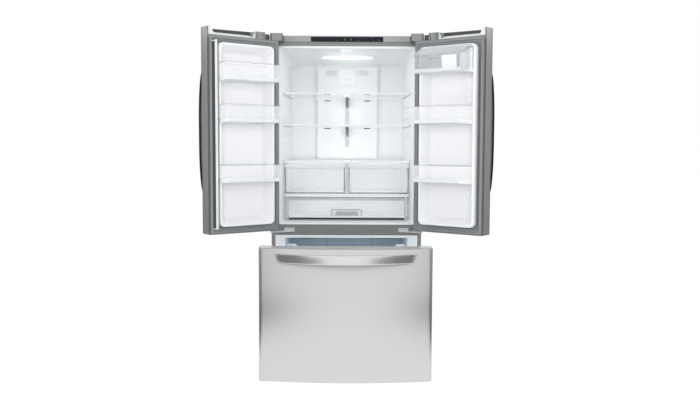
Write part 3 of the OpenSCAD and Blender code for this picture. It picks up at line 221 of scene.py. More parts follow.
def deep_liner(name, front, deep):
    """Liner that is pale at its mouth and blue-gray within; the blue-gray deeper in is painted
    shade of the compartment.
    """
    f = Finish(name)
    drift = f.noise(3.0)
    # painted shade: the colour goes from the pale front tone to the blue-gray deep tone past 12 mm
    # in
    within = f.along("Y").above(0.012, 0.05)
    return f.shade(Base_Color=f.blend(within * (drift * 0.1 + 0.9), front, deep),
                   Roughness=drift * 0.06 + 0.3)


def painted(name, tone, rough=0.4):
    """Stoved paint on sheet steel, with a slight orange peel."""
    f = Finish(name)
    drift = f.noise(2.0, detail=2.0)
    return f.shade(Base_Color=f.blend(drift, toned(tone, 0.93), tone), Metallic=0.25,
                   Roughness=rough + (drift - 0.5) * 0.1,
                   Normal=f.bump(f.noise(260.0), 0.00012, 0.35))


def clear(name, tone, body, edge, rough=0.06, shine=0.5):
    """Clear sheet: thin where it faces the eye, denser where it turns away."""
    f = Finish(name)
    turned = f.node("LayerWeight", "Facing", Blend=0.3)
    cloud = f.noise(6.0)
    return f.shade(Base_Color=f.blend(cloud, toned(tone, 0.96), tone), Roughness=rough,
                   IOR=1.45, Specular_IOR_Level=shine,
                   Alpha=turned * (edge - body) + body + (cloud - 0.5) * 0.02)


def galvanised(name, tone):
    """Zinc spangle: soft cells of slightly different grey."""
    f = Finish(name)
    spangle = f.node("SeparateColor", Color=f.node("TexVoronoi", "Color", Vector=f.place,
                                                   Scale=70.0))
    return f.shade(Base_Color=f.blend(spangle, toned(tone, 0.8), tone), Metallic=0.9,
                   Roughness=spangle * 0.2 + 0.3)


def post_trim(name, low, high):
    """Trim whose sill is pale and whose post, above it, is a shade grayer."""
    f = Finish(name)
    drift = f.noise(3.0)
    post = f.blend(f.along("Z").above(0.904, 0.004), low, high)
    return f.shade(Base_Color=f.blend(drift * 0.1, post, low), Roughness=drift * 0.06 + 0.45)


def lamp_face(name):
    """Lit diffuser of the ceiling lamp, brightest in its middle and fading to its ends."""
    f = Finish(name)
    ends = f.along("X").math("ABSOLUTE").above(0.085, 0.05)
    sides = (f.along("Y") - 0.262).math("ABSOLUTE").above(0.002, 0.008)
    return f.shade(Base_Color=(0.92, 0.94, 0.96), Roughness=0.5 + f.noise(400.0) * 0.1,
                   Emission_Color=f.blend((1.0 - ends) * (1.0 - sides), (0.12, 0.12, 0.12),
                                          WHITE), Emission_Strength=1.4)


def glow(name, tone, strength):
    """Small lit mark behind glass."""
    f = Finish(name)
    grain = f.noise(900.0)
    return f.shade(Base_Color=f.blend(grain, toned(tone, 0.9), tone),
                   Roughness=0.4 + grain * 0.1,
                   Emission_Color=f.blend(grain, toned(tone, 0.8), tone),
                   Emission_Strength=strength)


STAINLESS = brushed_steel("brushed_stainless", (0.71, 0.715, 0.71), 0.38, (40.0, 40.0, 900.0),
                          0.00001, 0.03)
HANDLE_STEEL = rimmed_steel("handle_stainless", (0.64, 0.64, 0.63), (900.0, 900.0, 3.0))
DOOR_BAR = rimmed_steel("door_handle_stainless", (0.64, 0.64, 0.63), (900.0, 900.0, 3.0), True)
BAR_STEEL = rimmed_steel("bar_stainless", (0.72, 0.716, 0.704), (3.0, 900.0, 900.0),
                         metal=0.85)
BRACKET = brushed_steel("bracket_steel", (0.74, 0.75, 0.76), 0.25, (300.0, 300.0, 6.0))
CABINET = painted("cabinet_paint", (0.25, 0.26, 0.255))
CROSSBAR = painted("crossbar_paint", (0.225, 0.235, 0.23))
LINER = moulded("liner_white", (0.88, 0.90, 0.91), 0.5)
DOOR_LINER = moulded("door_liner_white", (0.90, 0.905, 0.92), 0.22, 0.3)
BASKET_WHITE = moulded("basket_white", (0.78, 0.83, 0.86), 0.32)
FREEZER_LINER = deep_liner("freezer_liner", (0.80, 0.85, 0.88), (0.30, 0.37, 0.43))
TRIM_WHITE = moulded("trim_white", (0.81, 0.825, 0.84), 0.5)
SILVER = moulded("silver_plastic", (0.325, 0.335, 0.34), 0.38, 0.1, 0.00004)
PALE_CAP = moulded("pale_cap_plastic", (0.60, 0.65, 0.68), 0.38, 0.1)
GRAY = moulded("door_edge_gray", (0.215, 0.23, 0.235), 0.5, 0.0, 0.00006)
DARK = moulded("dark_gray_plastic", (0.10, 0.105, 0.11), 0.5, 0.0, 0.00006)
COVER_GRAY = moulded("hinge_cover_gray", (0.30, 0.31, 0.315), 0.22, 0.3, Metallic=0.8)
BLACK = moulded("black_plastic", (0.025, 0.025, 0.028), 0.5, 0.0, 0.00006)
PANEL_GLASS = moulded("panel_glass", (0.010, 0.014, 0.020), 0.12, Specular_IOR_Level=0.15)
SEAL = moulded("seal_gray", (0.26, 0.27, 0.275), 0.6)
SEAL_BLACK = moulded("drawer_seal_black", (0.03, 0.03, 0.032), 0.6)
CLEAR = clear("clear_plastic_sheet", (0.97, 0.975, 0.99), 0.2, 0.45, 0.24)
CLEAR_EDGE = clear("clear_plastic_rim", (0.36, 0.39, 0.42), 0.26, 0.65, 0.1)
SMOKED = clear("smoked_clear_plastic", (0.60, 0.64, 0.67), 0.24, 0.5)
GLASS = clear("shelf_glass", (0.80, 0.86, 0.86), 0.03, 0.10, 0.03, 0.12)
COVER = moulded("evaporator_gray", (0.27, 0.34, 0.40), 0.4)
ZINC = galvanised("galvanised_sheet", (0.62, 0.63, 0.65))
FINS = brushed_steel("fin_aluminium", (0.80, 0.81, 0.82), 0.3, (500.0, 500.0, 9.0))
ENAMEL = painted("black_enamel", (0.03, 0.03, 0.032), 0.3)
GROOVE = moulded("groove_gray", (0.58, 0.61, 0.62), 0.4)
# painted shade for the wall behind a door cap's scoop
SCOOP_SHADE = moulded("scoop_painted_shade", (0.06, 0.064, 0.058), 0.45)
EDGE_GRAY = moulded("free_edge_gray", (0.085, 0.092, 0.095), 0.45, 0.0, 0.00006)
HINGE_ZINC = moulded("hinge_zinc", (0.58, 0.60, 0.62), 0.3, 0.2, 0.00003)
EDGE_LINE = clear("moulded_edge_line", (0.12, 0.14, 0.16), 0.66, 0.9, 0.15)
# gray for the painted shade in the pantry pull's recess and for the pantry's printed marks
PULL_SHADE_AND_PRINT_GRAY = moulded("pull_shade_and_print_gray", (0.40, 0.44, 0.46), 0.5)
FLAP_METAL = moulded("flap_face_metal", (0.075, 0.083, 0.075), 0.35, 0.0, 0.00003, 700.0,
                     Metallic=0.4)
SHELF_WHITE = moulded("shelf_trim_white", (0.91, 0.92, 0.93), 0.4)
POST_TRIM = post_trim("crisper_post_trim", (0.88, 0.89, 0.90), (0.58, 0.61, 0.62))
LAMP = lamp_face("lamp_diffuser")
GREEN_MARK = glow("green_mark", (0.25, 0.36, 0.14), 0.2)
PALE_MARK = glow("pale_mark", (0.13, 0.15, 0.165), 0.1)

FINISHES = {
    CABINET: ["case_shell"],
    CROSSBAR: ["crossbar"],
    ZINC: ["back_panel", "freezer_rails", "slide_members", "drawer_slides"],
    BLACK: ["machine_cover", "front_feet", "evaporator_fan", "condenser_fan", "rear_rollers"],
    LINER: ["fridge_liner", "duct_panel", "filter_cover"],
    FREEZER_LINER: ["freezer_liner"],
    BASKET_WHITE: ["freezer_basket"],
    SILVER: ["top_trim", "drawer_panel"],
    PANEL_GLASS: ["control_panel"],
    BRACKET: ["top_hinges", "shelf_rail"],
    HINGE_ZINC: ["middle_hinges"],
    GRAY: ["left_frame", "right_frame", "left_cap", "right_cap", "base_grille"],
    TRIM_WHITE: ["mullion_flap"],
    SHELF_WHITE: ["shelf_frames", "crisper_cover_frame"],
    POST_TRIM: ["crisper_support"],
    LAMP: ["ceiling_light"],
    GLASS: ["shelf_glass", "crisper_cover_glass"],
    COVER: ["evaporator_cover"],
    FINS: ["evaporator"],
    ENAMEL: ["compressor", "condenser"],
    STAINLESS: ["left_skin", "right_skin", "drawer_skin"],
    HANDLE_STEEL: ["drawer_handle"],
    DOOR_BAR: ["left_handle", "right_handle"],
    DOOR_LINER: ["left_liner", "right_liner"],
    SEAL: ["left_gasket", "right_gasket", "drawer_gasket"],
    SMOKED: ["dairy_lid", "right_dairy_bin"],
    CLEAR: ["left_upper_bin", "left_middle_bin", "left_lower_bin",
            "right_middle_bin", "right_lower_bin", "crisper_left",
            "crisper_right", "pantry_drawer"],
}
SEE_THROUGH = (CLEAR, CLEAR_EDGE, GLASS, SMOKED)
for material, names in FINISHES.items():
    for node in (NODES[name] for name in names):
        node.visible_shadow = material not in SEE_THROUGH
        if node.material_slots:
            node.material_slots[0].material = material
        else:
            node.data.materials.append(material)


# ---- surfaces ----------------------------------------------------------------------------

def rounded(corners, radius, inset=0.0, steps=5, closed=True):
    """Outline with round corners, one for each inset m: with the unit normals n0 and n1 of
    the edges that meet in corner P, w = (n0 + n1) / (1 + n0.n1) and s = +1 where the path
    turns left, the points are P + m w + s r (w - n), n running from n0 to n1."""
    corners = np.asarray(corners, float)
    edge = np.roll(corners, -1, 0) - corners
    if not closed:
        edge[-1] = edge[-2]
    after = np.stack([-edge[:, 1], edge[:, 0]], 1)
    after = after / np.linalg.norm(after, axis=1)[:, None]
    before = np.roll(after, 1, 0)
    if not closed:
        before[0] = after[0]
    miter = (before + after) / (1.0 + (before * after).sum(1))[:, None]
    cross = before[:, 0] * after[:, 1] - before[:, 1] * after[:, 0]
    turn = np.where(cross >= 0.0, 1.0, -1.0)
    inset = np.atleast_1d(np.asarray(inset, float))
    radius = np.broadcast_to(np.asarray(radius, float), (len(inset), len(corners)))
    start = np.arctan2(before[:, 1], before[:, 0])
    swing = np.arctan2(cross, (before * after).sum(1))
    angle = start[:, None] + swing[:, None] * np.linspace(0.0, 1.0, steps + 1)
    normal = np.stack([np.cos(angle), np.sin(angle)], -1)
    reach = (turn * radius)[:, :, None, None]
    points = (corners[:, None] + inset[:, None, None, None] * miter[:, None]
              + reach * (miter[:, None] - normal))
    return points.reshape(len(inset), -1, 2)


def box_loop(x0, x1, z0, z1):
    """The four corners of a rectangle, in the order that turns left."""
    return np.array([[x0, z0], [x1, z0], [x1, z1], [x0, z1]], float)


def towards_middle(ring, shares):
    """Copies of a ring drawn towards its middle c: c + s (ring - c) for each share s."""
    middle = ring.mean(0)
    return middle + np.asarray(shares, float)[:, None, None] * (ring - middle)


def with_ends(rings, shares):
    """Rings (M, N, 3) closed at both ends by copies drawn towards the end rings' middles."""
    return np.concatenate([towards_middle(rings[0], shares), rings,
                           towards_middle(rings[-1], shares[::-1])])


def circles(x, z, radius, count):
    """Rings of `count` points round (x, z), one for each radius."""
    a = np.linspace(0.0, 2.0 * math.pi, count, endpoint=False)
    radius = np.asarray(radius, float)[:, None]
    return np.stack([x + radius * np.cos(a), z + radius * np.sin(a)], -1)


def face_values(mesh, key, width=1):
    """One row of values for each face of a mesh."""
    values = np.empty(len(mesh.polygons) * width)
    mesh.polygons.foreach_get(key, values)
    return values.reshape(-1, width)


def make(name, grids, material, body, slot, replaces=None, around=True, along=False,
         caps=False, sharp=40.0, facing=None, wall=0.0):
    """One mesh piece from grids of points (M rings of N points, millimetres), in the place
    of the CAD node that it `replaces`. Rings close round when `around`, the last ring meets
    the first when `along`, and `caps` closes the first and last ring with a fan to its
    middle. `facing` turns an open sheet's faces towards that point, and `wall` gives it a
    thickness behind them; closed forms face outwards."""
    if isinstance(grids, np.ndarray):
        grids = [grids]
    points, faces, count = [], [], 0
    for grid in grids:
        rings, size = grid.shape[:2]
        i = np.arange(rings if along else rings - 1)[:, None]
        j = np.arange(size if around else size - 1)[None, :]
        i2, j2 = (i + 1) % rings, (j + 1) % size
        quads = np.stack([i * size + j, i * size + j2, i2 * size + j2, i2 * size + j], -1)
        faces += (quads.reshape(-1, 4) + count).tolist()
        points.append(grid.reshape(-1, 3))
        if caps:
            ring = np.arange(size)
            for row, spot in ((0, rings * size), (rings - 1, rings * size + 1)):
                fan = np.stack([row * size + ring, row * size + (ring + 1) % size,
                                np.full(size, spot)], -1)
                faces += (fan + count).tolist()
            points.append(np.stack([grid[0].mean(0), grid[-1].mean(0)]))
            count += 2
        count += rings * size
    mesh = bpy.data.meshes.new(name)
    mesh.from_pydata((np.concatenate(points) * 0.001).tolist(), [], faces)
    work = bmesh.new()
    work.from_mesh(mesh)
    bmesh.ops.remove_doubles(work, verts=work.verts, dist=2e-6)
    bmesh.ops.dissolve_degenerate(work, edges=work.edges, dist=1e-6)
    bmesh.ops.recalc_face_normals(work, faces=work.faces)
    work.to_mesh(mesh)
    if facing is not None:
        to_eye = np.asarray(facing, float) * 0.001 - face_values(mesh, "center", 3)
        seen = (face_values(mesh, "normal", 3) * to_eye).sum(1, keepdims=True)
        if (seen * face_values(mesh, "area")).sum() < 0.0:
            bmesh.ops.reverse_faces(work, faces=work.faces)
            work.to_mesh(mesh)
    work.free()
    mesh.polygons.foreach_set("use_smooth", np.ones(len(mesh.polygons), bool))
    mesh.set_sharp_from_angle(angle=math.radians(sharp))
    mesh.materials.append(material)
    piece = bpy.data.objects.new(name, mesh)
    piece.visible_shadow = material not in SEE_THROUGH
    bpy.context.scene.collection.objects.link(piece)
    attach(piece, body)
    if wall:
        sheet = piece.modifiers.new("wall", "SOLIDIFY")
        sheet.thickness, sheet.offset = wall, -1.0
    if replaces:
        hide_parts(replaces)


def lift(flat, heights, axes):
    """Rings (M, N, 2) and heights (M,) or (M, N) placed as `axes` says, such as "xzy":
    the ring's two numbers go to the first two axes and the height to the third."""
    heights = np.asarray(heights, float)
    if heights.ndim == 1:
        heights = heights[:, None]
    grid = np.empty(flat.shape[:2] + (3,))
    grid[..., "xyz".index(axes[0])] = flat[..., 0]
    grid[..., "xyz".index(axes[1])] = flat[..., 1]
    grid[..., "xyz".index(axes[2])] = np.broadcast_to(heights, flat.shape[:2])
    return grid


def strip(along, section):
    """Closed section carried along X: each corner's y and z may change with the x's."""
    return np.stack([np.stack(np.broadcast_arrays(along, y, z), -1) for y, z in section], 1)


def cushion_box(x0, x1, y0, y1, z0, z1, r):
    """Block with round edges: plan outlines drawn in by r (1 - sin a) while the height
    rises by r (1 - cos a) from each end."""
    a = np.linspace(0.0, math.pi / 2.0, 4)
    inset = np.concatenate([r * (1.0 - np.sin(a)), r * (1.0 - np.sin(a))[::-1]])
    height = np.concatenate([z0 + r * (1.0 - np.cos(a)), (z1 - r * (1.0 - np.cos(a)))[::-1]])
    corner = np.maximum(r * 1.01 - inset, 0.0)[:, None]
    return lift(rounded(box_loop(x0, x1, y0, y1), corner, inset, 3), height, "xyz")


def make_blocks(name, boxes, r, material, body, slot, sharp=40.0):
    """One piece of round-edged blocks, each given by its six limits."""
    make(name, [cushion_box(*box, r) for box in boxes], material, body, slot, caps=True,
         sharp=sharp)


# ---- doors -------------------------------------------------------------------------------

HANDS = {-1: "left_", 1: "right_"}
OPEN = math.radians(143.2)
PIN = (-366.0, -56.0)
BOW_R, BOW_CY, EDGE_R = 2248.56, 2140.56, 18.0
DRAWER_OUT = np.array([0.0, -500.0, 0.0])
DOOR_XA, DOOR_XB, DECK_Y = -377.0, -3.0, -14.0
DOOR_Z0, DECK_TOP, SKIN_TOP = 738.0, 1664.0, 1704.0
HEM_Y = DECK_Y - 18.0
NOTCH_U, NOTCH_RISE = (38.0, 67.0), 20.0
DRAWER_X, DRAWER_Z0, DRAWER_TOP = 378.0, 128.0, 711.0


def swung(grid, side):
    """Places on the closed left door turned about its pin to the open stop; side +1 mirrors
    them to the right door."""
    x, y = grid[..., 0] - PIN[0], grid[..., 1] - PIN[1]
    c, s = math.cos(OPEN), math.sin(OPEN)
    turned = np.stack([PIN[0] + x * c + y * s, PIN[1] - x * s + y * c, grid[..., 2]], -1)
    turned[..., 0] *= -side
    return turned


def on_doors(label, grids, material, slot, sides=(-1, 1), node=None, **more):
    """The same piece on the left and the right door, in the place of the node "left_" or
    "right_" + node."""
    if isinstance(grids, np.ndarray):
        grids = [grids]
    for side in sides:
        hand = HANDS[side]
        make(hand + label, [swung(g, side) for g in grids], material, hand + "door", slot,
             replaces=hand + node if node else None, **more)


def face_y(x, inset=0.0):
    """Front arc: y = c - sqrt((R - inset)^2 - x^2)."""
    return BOW_CY - np.sqrt((BOW_R - inset) ** 2 - x * x)


def front_line(xa, xb, back, insets, breaks=()):
    """Outline of a bowed front for each inset: an arc of radius r at each vertical edge,
    joined by the front arc, from the plane y = back and back to it."""
    lines = []
    spread = np.linspace(0.0, 1.0, 61)
    for inset in insets:
        r = max(EDGE_R - inset, 1.0)
        ca, cb = xa + inset + r, xb - inset - r
        ya = BOW_CY - math.sqrt((BOW_R - inset - r) ** 2 - ca * ca)
        yb = BOW_CY - math.sqrt((BOW_R - inset - r) ** 2 - cb * cb)
        ta = 2.0 * math.pi + math.atan2(ya - BOW_CY, ca)
        tb = 2.0 * math.pi + math.atan2(yb - BOW_CY, cb)
        a = np.linspace(math.pi, ta, 11)
        b = np.linspace(tb, 2.0 * math.pi, 11)
        x0, x1 = ca + r * math.cos(ta), cb + r * math.cos(tb)
        x = np.sort(np.concatenate([x0 + (x1 - x0) * spread[1:-1], breaks]))
        lines.append(np.concatenate([
            [[xa + inset, back]], np.stack([ca + r * np.cos(a), ya + r * np.sin(a)], 1),
            np.stack([x, face_y(x, inset)], 1),
            np.stack([cb + r * np.cos(b), yb + r * np.sin(b)], 1), [[xb - inset, back]]]))
    return np.array(lines)


def wrapped_sheet(xa, xb, z0, top, breaks=()):
    """Stainless sheet of 2 mm with eased hems, carried along the front line from the plane
    of its hem; top(x) is its upper edge."""
    insets = [0.0, 0.0, 0.5, 1.5, 2.0, 2.0, 1.5, 0.5]
    upper = [0.7, 0.7, 0.0, 0.0, 0.7, 0.7, 0.0, 0.0]
    is_top = np.array([0, 1, 1, 1, 1, 0, 0, 0], bool)
    lines = front_line(xa, xb, HEM_Y, insets, breaks)
    height = np.where(is_top[:, None], top(lines[..., 0]) - np.array(upper)[:, None],
                      z0 + np.array(upper)[:, None])
    return np.concatenate([lines, height[..., None]], -1).transpose(1, 0, 2)


def door_top(x):
    """The door skin steps down twice beside the hinge."""
    u = x - DOOR_XA
    return np.where(u < NOTCH_U[0], DECK_TOP,
                    np.where(u < NOTCH_U[1], DECK_TOP + NOTCH_RISE, SKIN_TOP))


STEPS = [DOOR_XA + u + shift for u in NOTCH_U for shift in (-0.02, 0.02)]
on_doors("skin_sheet", wrapped_sheet(DOOR_XA, DOOR_XB, DOOR_Z0, door_top, STEPS), STAINLESS,
         "stainless", node="skin", caps=True)
make("drawer_skin_sheet", wrapped_sheet(-DRAWER_X, DRAWER_X, DRAWER_Z0,
                                        lambda x: x * 0.0 + DRAWER_TOP) + DRAWER_OUT,
     STAINLESS, "drawer", "stainless", "drawer_skin", caps=True)


HANDLE_LONG, HANDLE_THICK, HANDLE_WIDE, DRAWER_PULL_WIDE = 597.0, 12.0, 30.0, 42.0
HANDLE_X = DOOR_XB - EDGE_R - 2.0 - HANDLE_WIDE / 2.0
HANDLE_Z, DRAWER_PULL_Z = 1218.0, 672.0


def bowed_handle(width, rise, path, slant, power, reach, foot):
    """Bar of rounded section carried along its length q = -1..1; with s = |q / reach| it
    stands off the front by rise (1 - (1 - foot) s^power - foot s^26) between flat end pads,
    and its ends are eased over 2 mm."""
    ends = 1.0 - np.array([0.0, 0.5, 1.2, 2.4]) * 2.0 / HANDLE_LONG
    ease = np.array([1.6, 0.8, 0.25, 0.0])
    q = np.concatenate([-ends, np.linspace(-0.985, 0.985, 91), ends[::-1]])
    inset = np.concatenate([ease, np.zeros(91), ease[::-1]])
    corner = np.maximum(HANDLE_THICK * 0.42 - inset, 0.3)[:, None]
    ring = rounded(box_loop(-width / 2.0, width / 2.0, 0.0, HANDLE_THICK), corner, inset, 6)
    s = np.abs(q / reach)
    gap = rise * np.maximum(0.0, 1.0 - (1.0 - foot) * s ** power - foot * s ** 26)
    stand = -0.2 - ring[..., 1] - gap[:, None]
    run = (q * HANDLE_LONG / 2.0)[:, None] + q[:, None] * slant * ring[..., 0] / width * 2.0
    return path(ring[..., 0], stand, run)


def door_handle_path(across, stand, run):
    """Upright on the door's front, near its free edge."""
    x = HANDLE_X + across
    return np.stack([x, face_y(x) + stand, HANDLE_Z + run], -1)


def drawer_handle_path(across, stand, run):
    """Level across the front of the pulled-out drawer."""
    return np.stack([run, face_y(run) + stand, DRAWER_PULL_Z + across], -1) + DRAWER_OUT


on_doors("pull_bar", bowed_handle(HANDLE_WIDE, 50.0, door_handle_path, 0.0, 3.0, 0.985, 0.42),
         DOOR_BAR, "stainless", node="handle", caps=True, sharp=60.0)
make("drawer_pull_bar", bowed_handle(DRAWER_PULL_WIDE, 49.8, drawer_handle_path, 10.0, 2.0,
                                     0.97, 0.0),
     BAR_STEEL, "drawer", "stainless", "drawer_handle", caps=True, sharp=60.0)


# Thermoformed liners: the section (inset, height) below is carried round the dyke's outline
LINER_U0, LINER_U1, LINER_Z = 46.0, {-1: 345.0, 1: 351.0}, (774.0, 1630.0)
FLOOR_V = -10.0
BIN_Z = {"upper": 1454.0, "middle": 1263.0, "lower": 985.0}
DAIRY_Z = 1500.0


def liner_rings(side):
    """Outer wall, rim, sloped inner wall and sunken floor, each bend rounded."""
    bends = np.array([[0.0, 0.0], [3.0, 40.0], [13.0, 40.0], [43.0, FLOOR_V], [60.0, FLOOR_V]])
    section = rounded(bends, [0.0, 3.5, 4.5, 12.0, 0.0], 0.0, 6, closed=False)[0]
    corner = np.interp(section[:, 0], bends[:, 0], [26.0, 24.0, 18.0, 22.0, 20.0])
    rings = rounded(box_loop(DOOR_XA + LINER_U0, DOOR_XA + LINER_U1[side], *LINER_Z),
                    corner[:, None], section[:, 0], 9)
    floor = towards_middle(rings[-1], np.linspace(0.8, 0.0, 5))
    heights = np.concatenate([section[:, 1], np.full(5, FLOOR_V)])
    return lift(np.concatenate([rings, floor]), DECK_Y + heights, "xzy")


def bin_lugs(rests):
    """Moulded lugs that carry the bins, one near each end of a bin."""
    return [cushion_box(DOOR_XA + u, DOOR_XA + u + 20.0, DECK_Y + FLOOR_V + 0.1, DECK_Y + 20.0,
                        z - 5.0, z - 0.4, 2.0)
            for z in rests for u in (112.0, 263.0)]


for side, top_z in ((-1, BIN_Z["upper"]), (1, DAIRY_Z)):
    on_doors("liner_shell", liner_rings(side), DOOR_LINER, "liner_plastic", (side,), "liner",
             sharp=60.0, facing=swung(np.array([DOOR_XA + 190.0, 900.0, 1200.0]), side),
             wall=0.0015)
    on_doors("bin_lugs", bin_lugs((top_z, BIN_Z["middle"], BIN_Z["lower"])), DOOR_LINER,
             "liner_plastic", (side,), caps=True)


def seal_rings(x0, x1, z0, z1, free):
    """Door seal: a flat base with a round bulb over its outer half; the ring's place runs
    from the outer to the inner rectangle with the share a, its height is h. The base is
    24 mm wide, and `free` wide along the edge x1."""
    a = np.array([0.0, 0.0, 0.05, 0.10, 0.13, 0.20, 0.30, 0.40, 0.47, 0.51, 0.55, 0.62,
                  0.95, 1.0, 1.0])
    h = np.array([0.0, 3.2, 4.0, 6.0, 10.0, 12.9, 13.7, 12.9, 10.0, 5.6, 4.2, 3.8, 3.6,
                  3.0, 0.0]) * 13.3 / 13.7
    outer = box_loop(x0, x1, z0, z1)
    inner = box_loop(x0 + 24.0, x1 - free, z0 + 24.0, z1 - 24.0)
    corners = outer + a[:, None, None] * (inner - outer)
    rings = np.concatenate([rounded(c, r, 0.0, 4) for c, r in zip(corners, 7.0 - 3.0 * a)])
    return lift(rings, DECK_Y + h, "xzy")


on_doors("seal_bulb", seal_rings(-364.0, -7.0, 744.0, 1658.0, 12.0), SEAL, "gasket",
         node="gasket", along=True, sharp=50.0)
make("drawer_seal_bulb", seal_rings(-363.0, 363.0, 138.0, 709.0, 24.0) + DRAWER_OUT,
     SEAL_BLACK, "drawer", "gasket", "drawer_gasket", along=True, sharp=50.0)


def cap_pieces():
    """Dressing of a cap, each piece drawn out along X: the white ramp of its scoop, a painted
    highlight on its sloped floor, the dark wall behind it, a painted shade, the silver boss under
    an elliptic crown, and the pale corner piece."""
    along = np.linspace(-245.6, -32.4, 24)
    lip = face_y(along, 12.0) + 0.3
    # painted highlight: a white plate on the scoop's sloped floor
    ramp = strip(along, [(-14.4, 1663.9), (-14.4, 1664.9), (-82.4, 1684.9), (lip, 1684.9),
                         (lip, 1683.9), (-82.4, 1683.9)])
    along = np.linspace(-257.0, -20.0, 24)
    near, far = face_y(along, 12.0) + 0.05, face_y(along, 12.0) + 0.8
    # painted shade: a dark wall behind the scoop
    wall = strip(along, [(near, 1683.0), (far, 1683.0), (far, 1701.4), (near, 1701.4)])
    q = np.linspace(-1.0, 1.0, 25)
    crown = -26.5 + 9.0 * np.sqrt(1.0 - (q * 0.97) ** 2)
    top = 1699.6 - np.clip(q - 0.55, 0.0, 1.0) * 48.0 - np.clip(-0.85 - q, 0.0, 1.0) * 20.0
    boss = strip(-270.0 + 30.0 * q, [(crown, DECK_TOP), (crown, top - 2.0),
                                     (crown - 2.0, top), (-27.0, top), (-27.0, DECK_TOP)])
    x = np.linspace(0.0, 26.4, 12)
    peak = np.minimum(1672.0 + x * 2.1, 1701.6)
    corner = strip(x - 31.8, [(-20.6, DECK_TOP), (-20.6, peak - 1.0), (-21.6, peak),
                              (-22.6, peak), (-22.6, DECK_TOP)])
    return ((ramp, "ramp", TRIM_WHITE, "white_plastic"),
            (wall, "scoop_wall", SCOOP_SHADE, "gray_plastic"),
            (boss, "boss", BRACKET, "stainless"), (corner, "corner", TRIM_WHITE, "silver_plastic"))


for grid, label, finish, slot in cap_pieces():
    on_doors("cap_" + label, grid, finish, slot, caps=True, sharp=35.0)
on_doors("pin_stop", cushion_box(-360.0, -311.0, -76.0, -68.5, DECK_TOP, 1698.0, 1.5), DARK,
         "gray_plastic", caps=True)


def edge_seal():
    """Ribbed strip on a door's free edge behind the skin: it stands 0.5 + 0.4 cos(2 pi t)
    proud over three waves t."""
    y = np.linspace(-31.0, -15.0, 37)
    proud = 0.5 + 0.4 * np.cos((y + 23.0) / 16.0 * 6.0 * math.pi)
    ring = np.concatenate([np.stack([DOOR_XB + proud, y], -1),
                           [[DOOR_XB - 0.2, -15.0], [DOOR_XB - 0.2, -31.0]]])
    return lift(np.stack([ring] * 4), np.array([741.0, 742.0, 1648.0, 1649.0]), "xyz")


on_doors("edge_seal", edge_seal(), EDGE_GRAY, "gray_plastic", caps=True, sharp=50.0)


def rest_dots():
    """Small round rests on the slope of the dyke's hinge side, one for each spare place of
    a bin: rings of 4 mm and less, whose axis leans out as the slope does."""
    along, up = np.moveaxis(circles(0.0, 0.0, [4.0, 4.0, 3.2, 1.6], 16), -1, 0)
    rise = np.array([-1.0, 1.0, 2.2, 2.8])[:, None]
    return [np.stack([DOOR_XA + 69.0 + 0.51 * along + 0.86 * rise,
                      DECK_Y + 30.2 - 0.86 * along + 0.51 * rise, z + up], -1)
            for z in (1238.0, 1190.0, 1146.0, 1099.0, 844.0)]


def rest_waves():
    """Wavy rail of rests down the dyke's free side above the middle bin: its reach is
    8 + 6 cos(2 pi t) over three waves t."""
    z0, z1 = 1362.0, 1470.0
    z = np.linspace(z0, z1, 55)
    reach = 8.0 + 6.0 * np.cos((z - z0) / 36.0 * 2.0 * math.pi)
    reach = reach * np.clip((np.minimum(z - z0, z1 - z) + 1.0) / 6.0, 0.1, 1.0)
    a = np.linspace(0.0, math.pi, 9)
    u = LINER_U1[1] - 34.0 - np.cos(a)[None, :] * 9.0
    v = 15.0 + np.cos(a)[None, :] * 15.0 + np.sin(a)[None, :] * reach[:, None]
    return np.stack([DOOR_XA + u - np.sin(a)[None, :] * reach[:, None], DECK_Y + v,
                     np.broadcast_to(z[:, None], v.shape)], -1)


on_doors("bin_rest_waves", rest_waves(), DOOR_LINER, "liner_plastic", (1,), caps=True,
         sharp=60.0)
on_doors("bin_rest_dots", rest_dots(), DOOR_LINER, "liner_plastic", caps=True, sharp=60.0)


def hinge_cover(side):
    """Moulded cover over a top hinge: a shell on the plan below, whose front half hangs
    down over the pin and whose rear half stands on the cabinet."""
    plan = np.array([[-376.0, 62.0], [-376.0, 0.0], [-376.0, -0.3], [-376.0, -66.0],
                     [-314.0, -66.0], [-314.0, -0.3], [-314.0, 0.0], [-314.0, 62.0]])
    radius = np.array([3.0, 0.01, 0.01, 10.0, 6.0, 0.01, 0.01, 3.0])
    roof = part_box("top_hinges")[1][2] * 1000.0 + 0.4
    section = [(1.6, roof), (1.6, None), (0.0, None), (0.0, roof - 2.6), (0.5, roof + 0.2),
               (2.2, roof + 1.6)]
    rings = np.concatenate([rounded(plan, np.maximum(radius - m, 0.01), m, 6)
                            for m, _ in section])
    foot = np.where(rings[..., 1] > -0.15, 1698.05, 1667.0)
    height = np.array([np.full(len(low), z) if z else low
                       for low, (_, z) in zip(foot, section)])
    rings[..., 0] *= -side
    return with_ends(lift(rings, height, "xyz"), [0.0, 0.5])


make("hinge_cover_shells", [hinge_cover(side) for side in (-1, 1)], COVER_GRAY, "root",
     "gray_plastic", "hinge_covers")


# ---- door bins ---------------------------------------------------------------------------

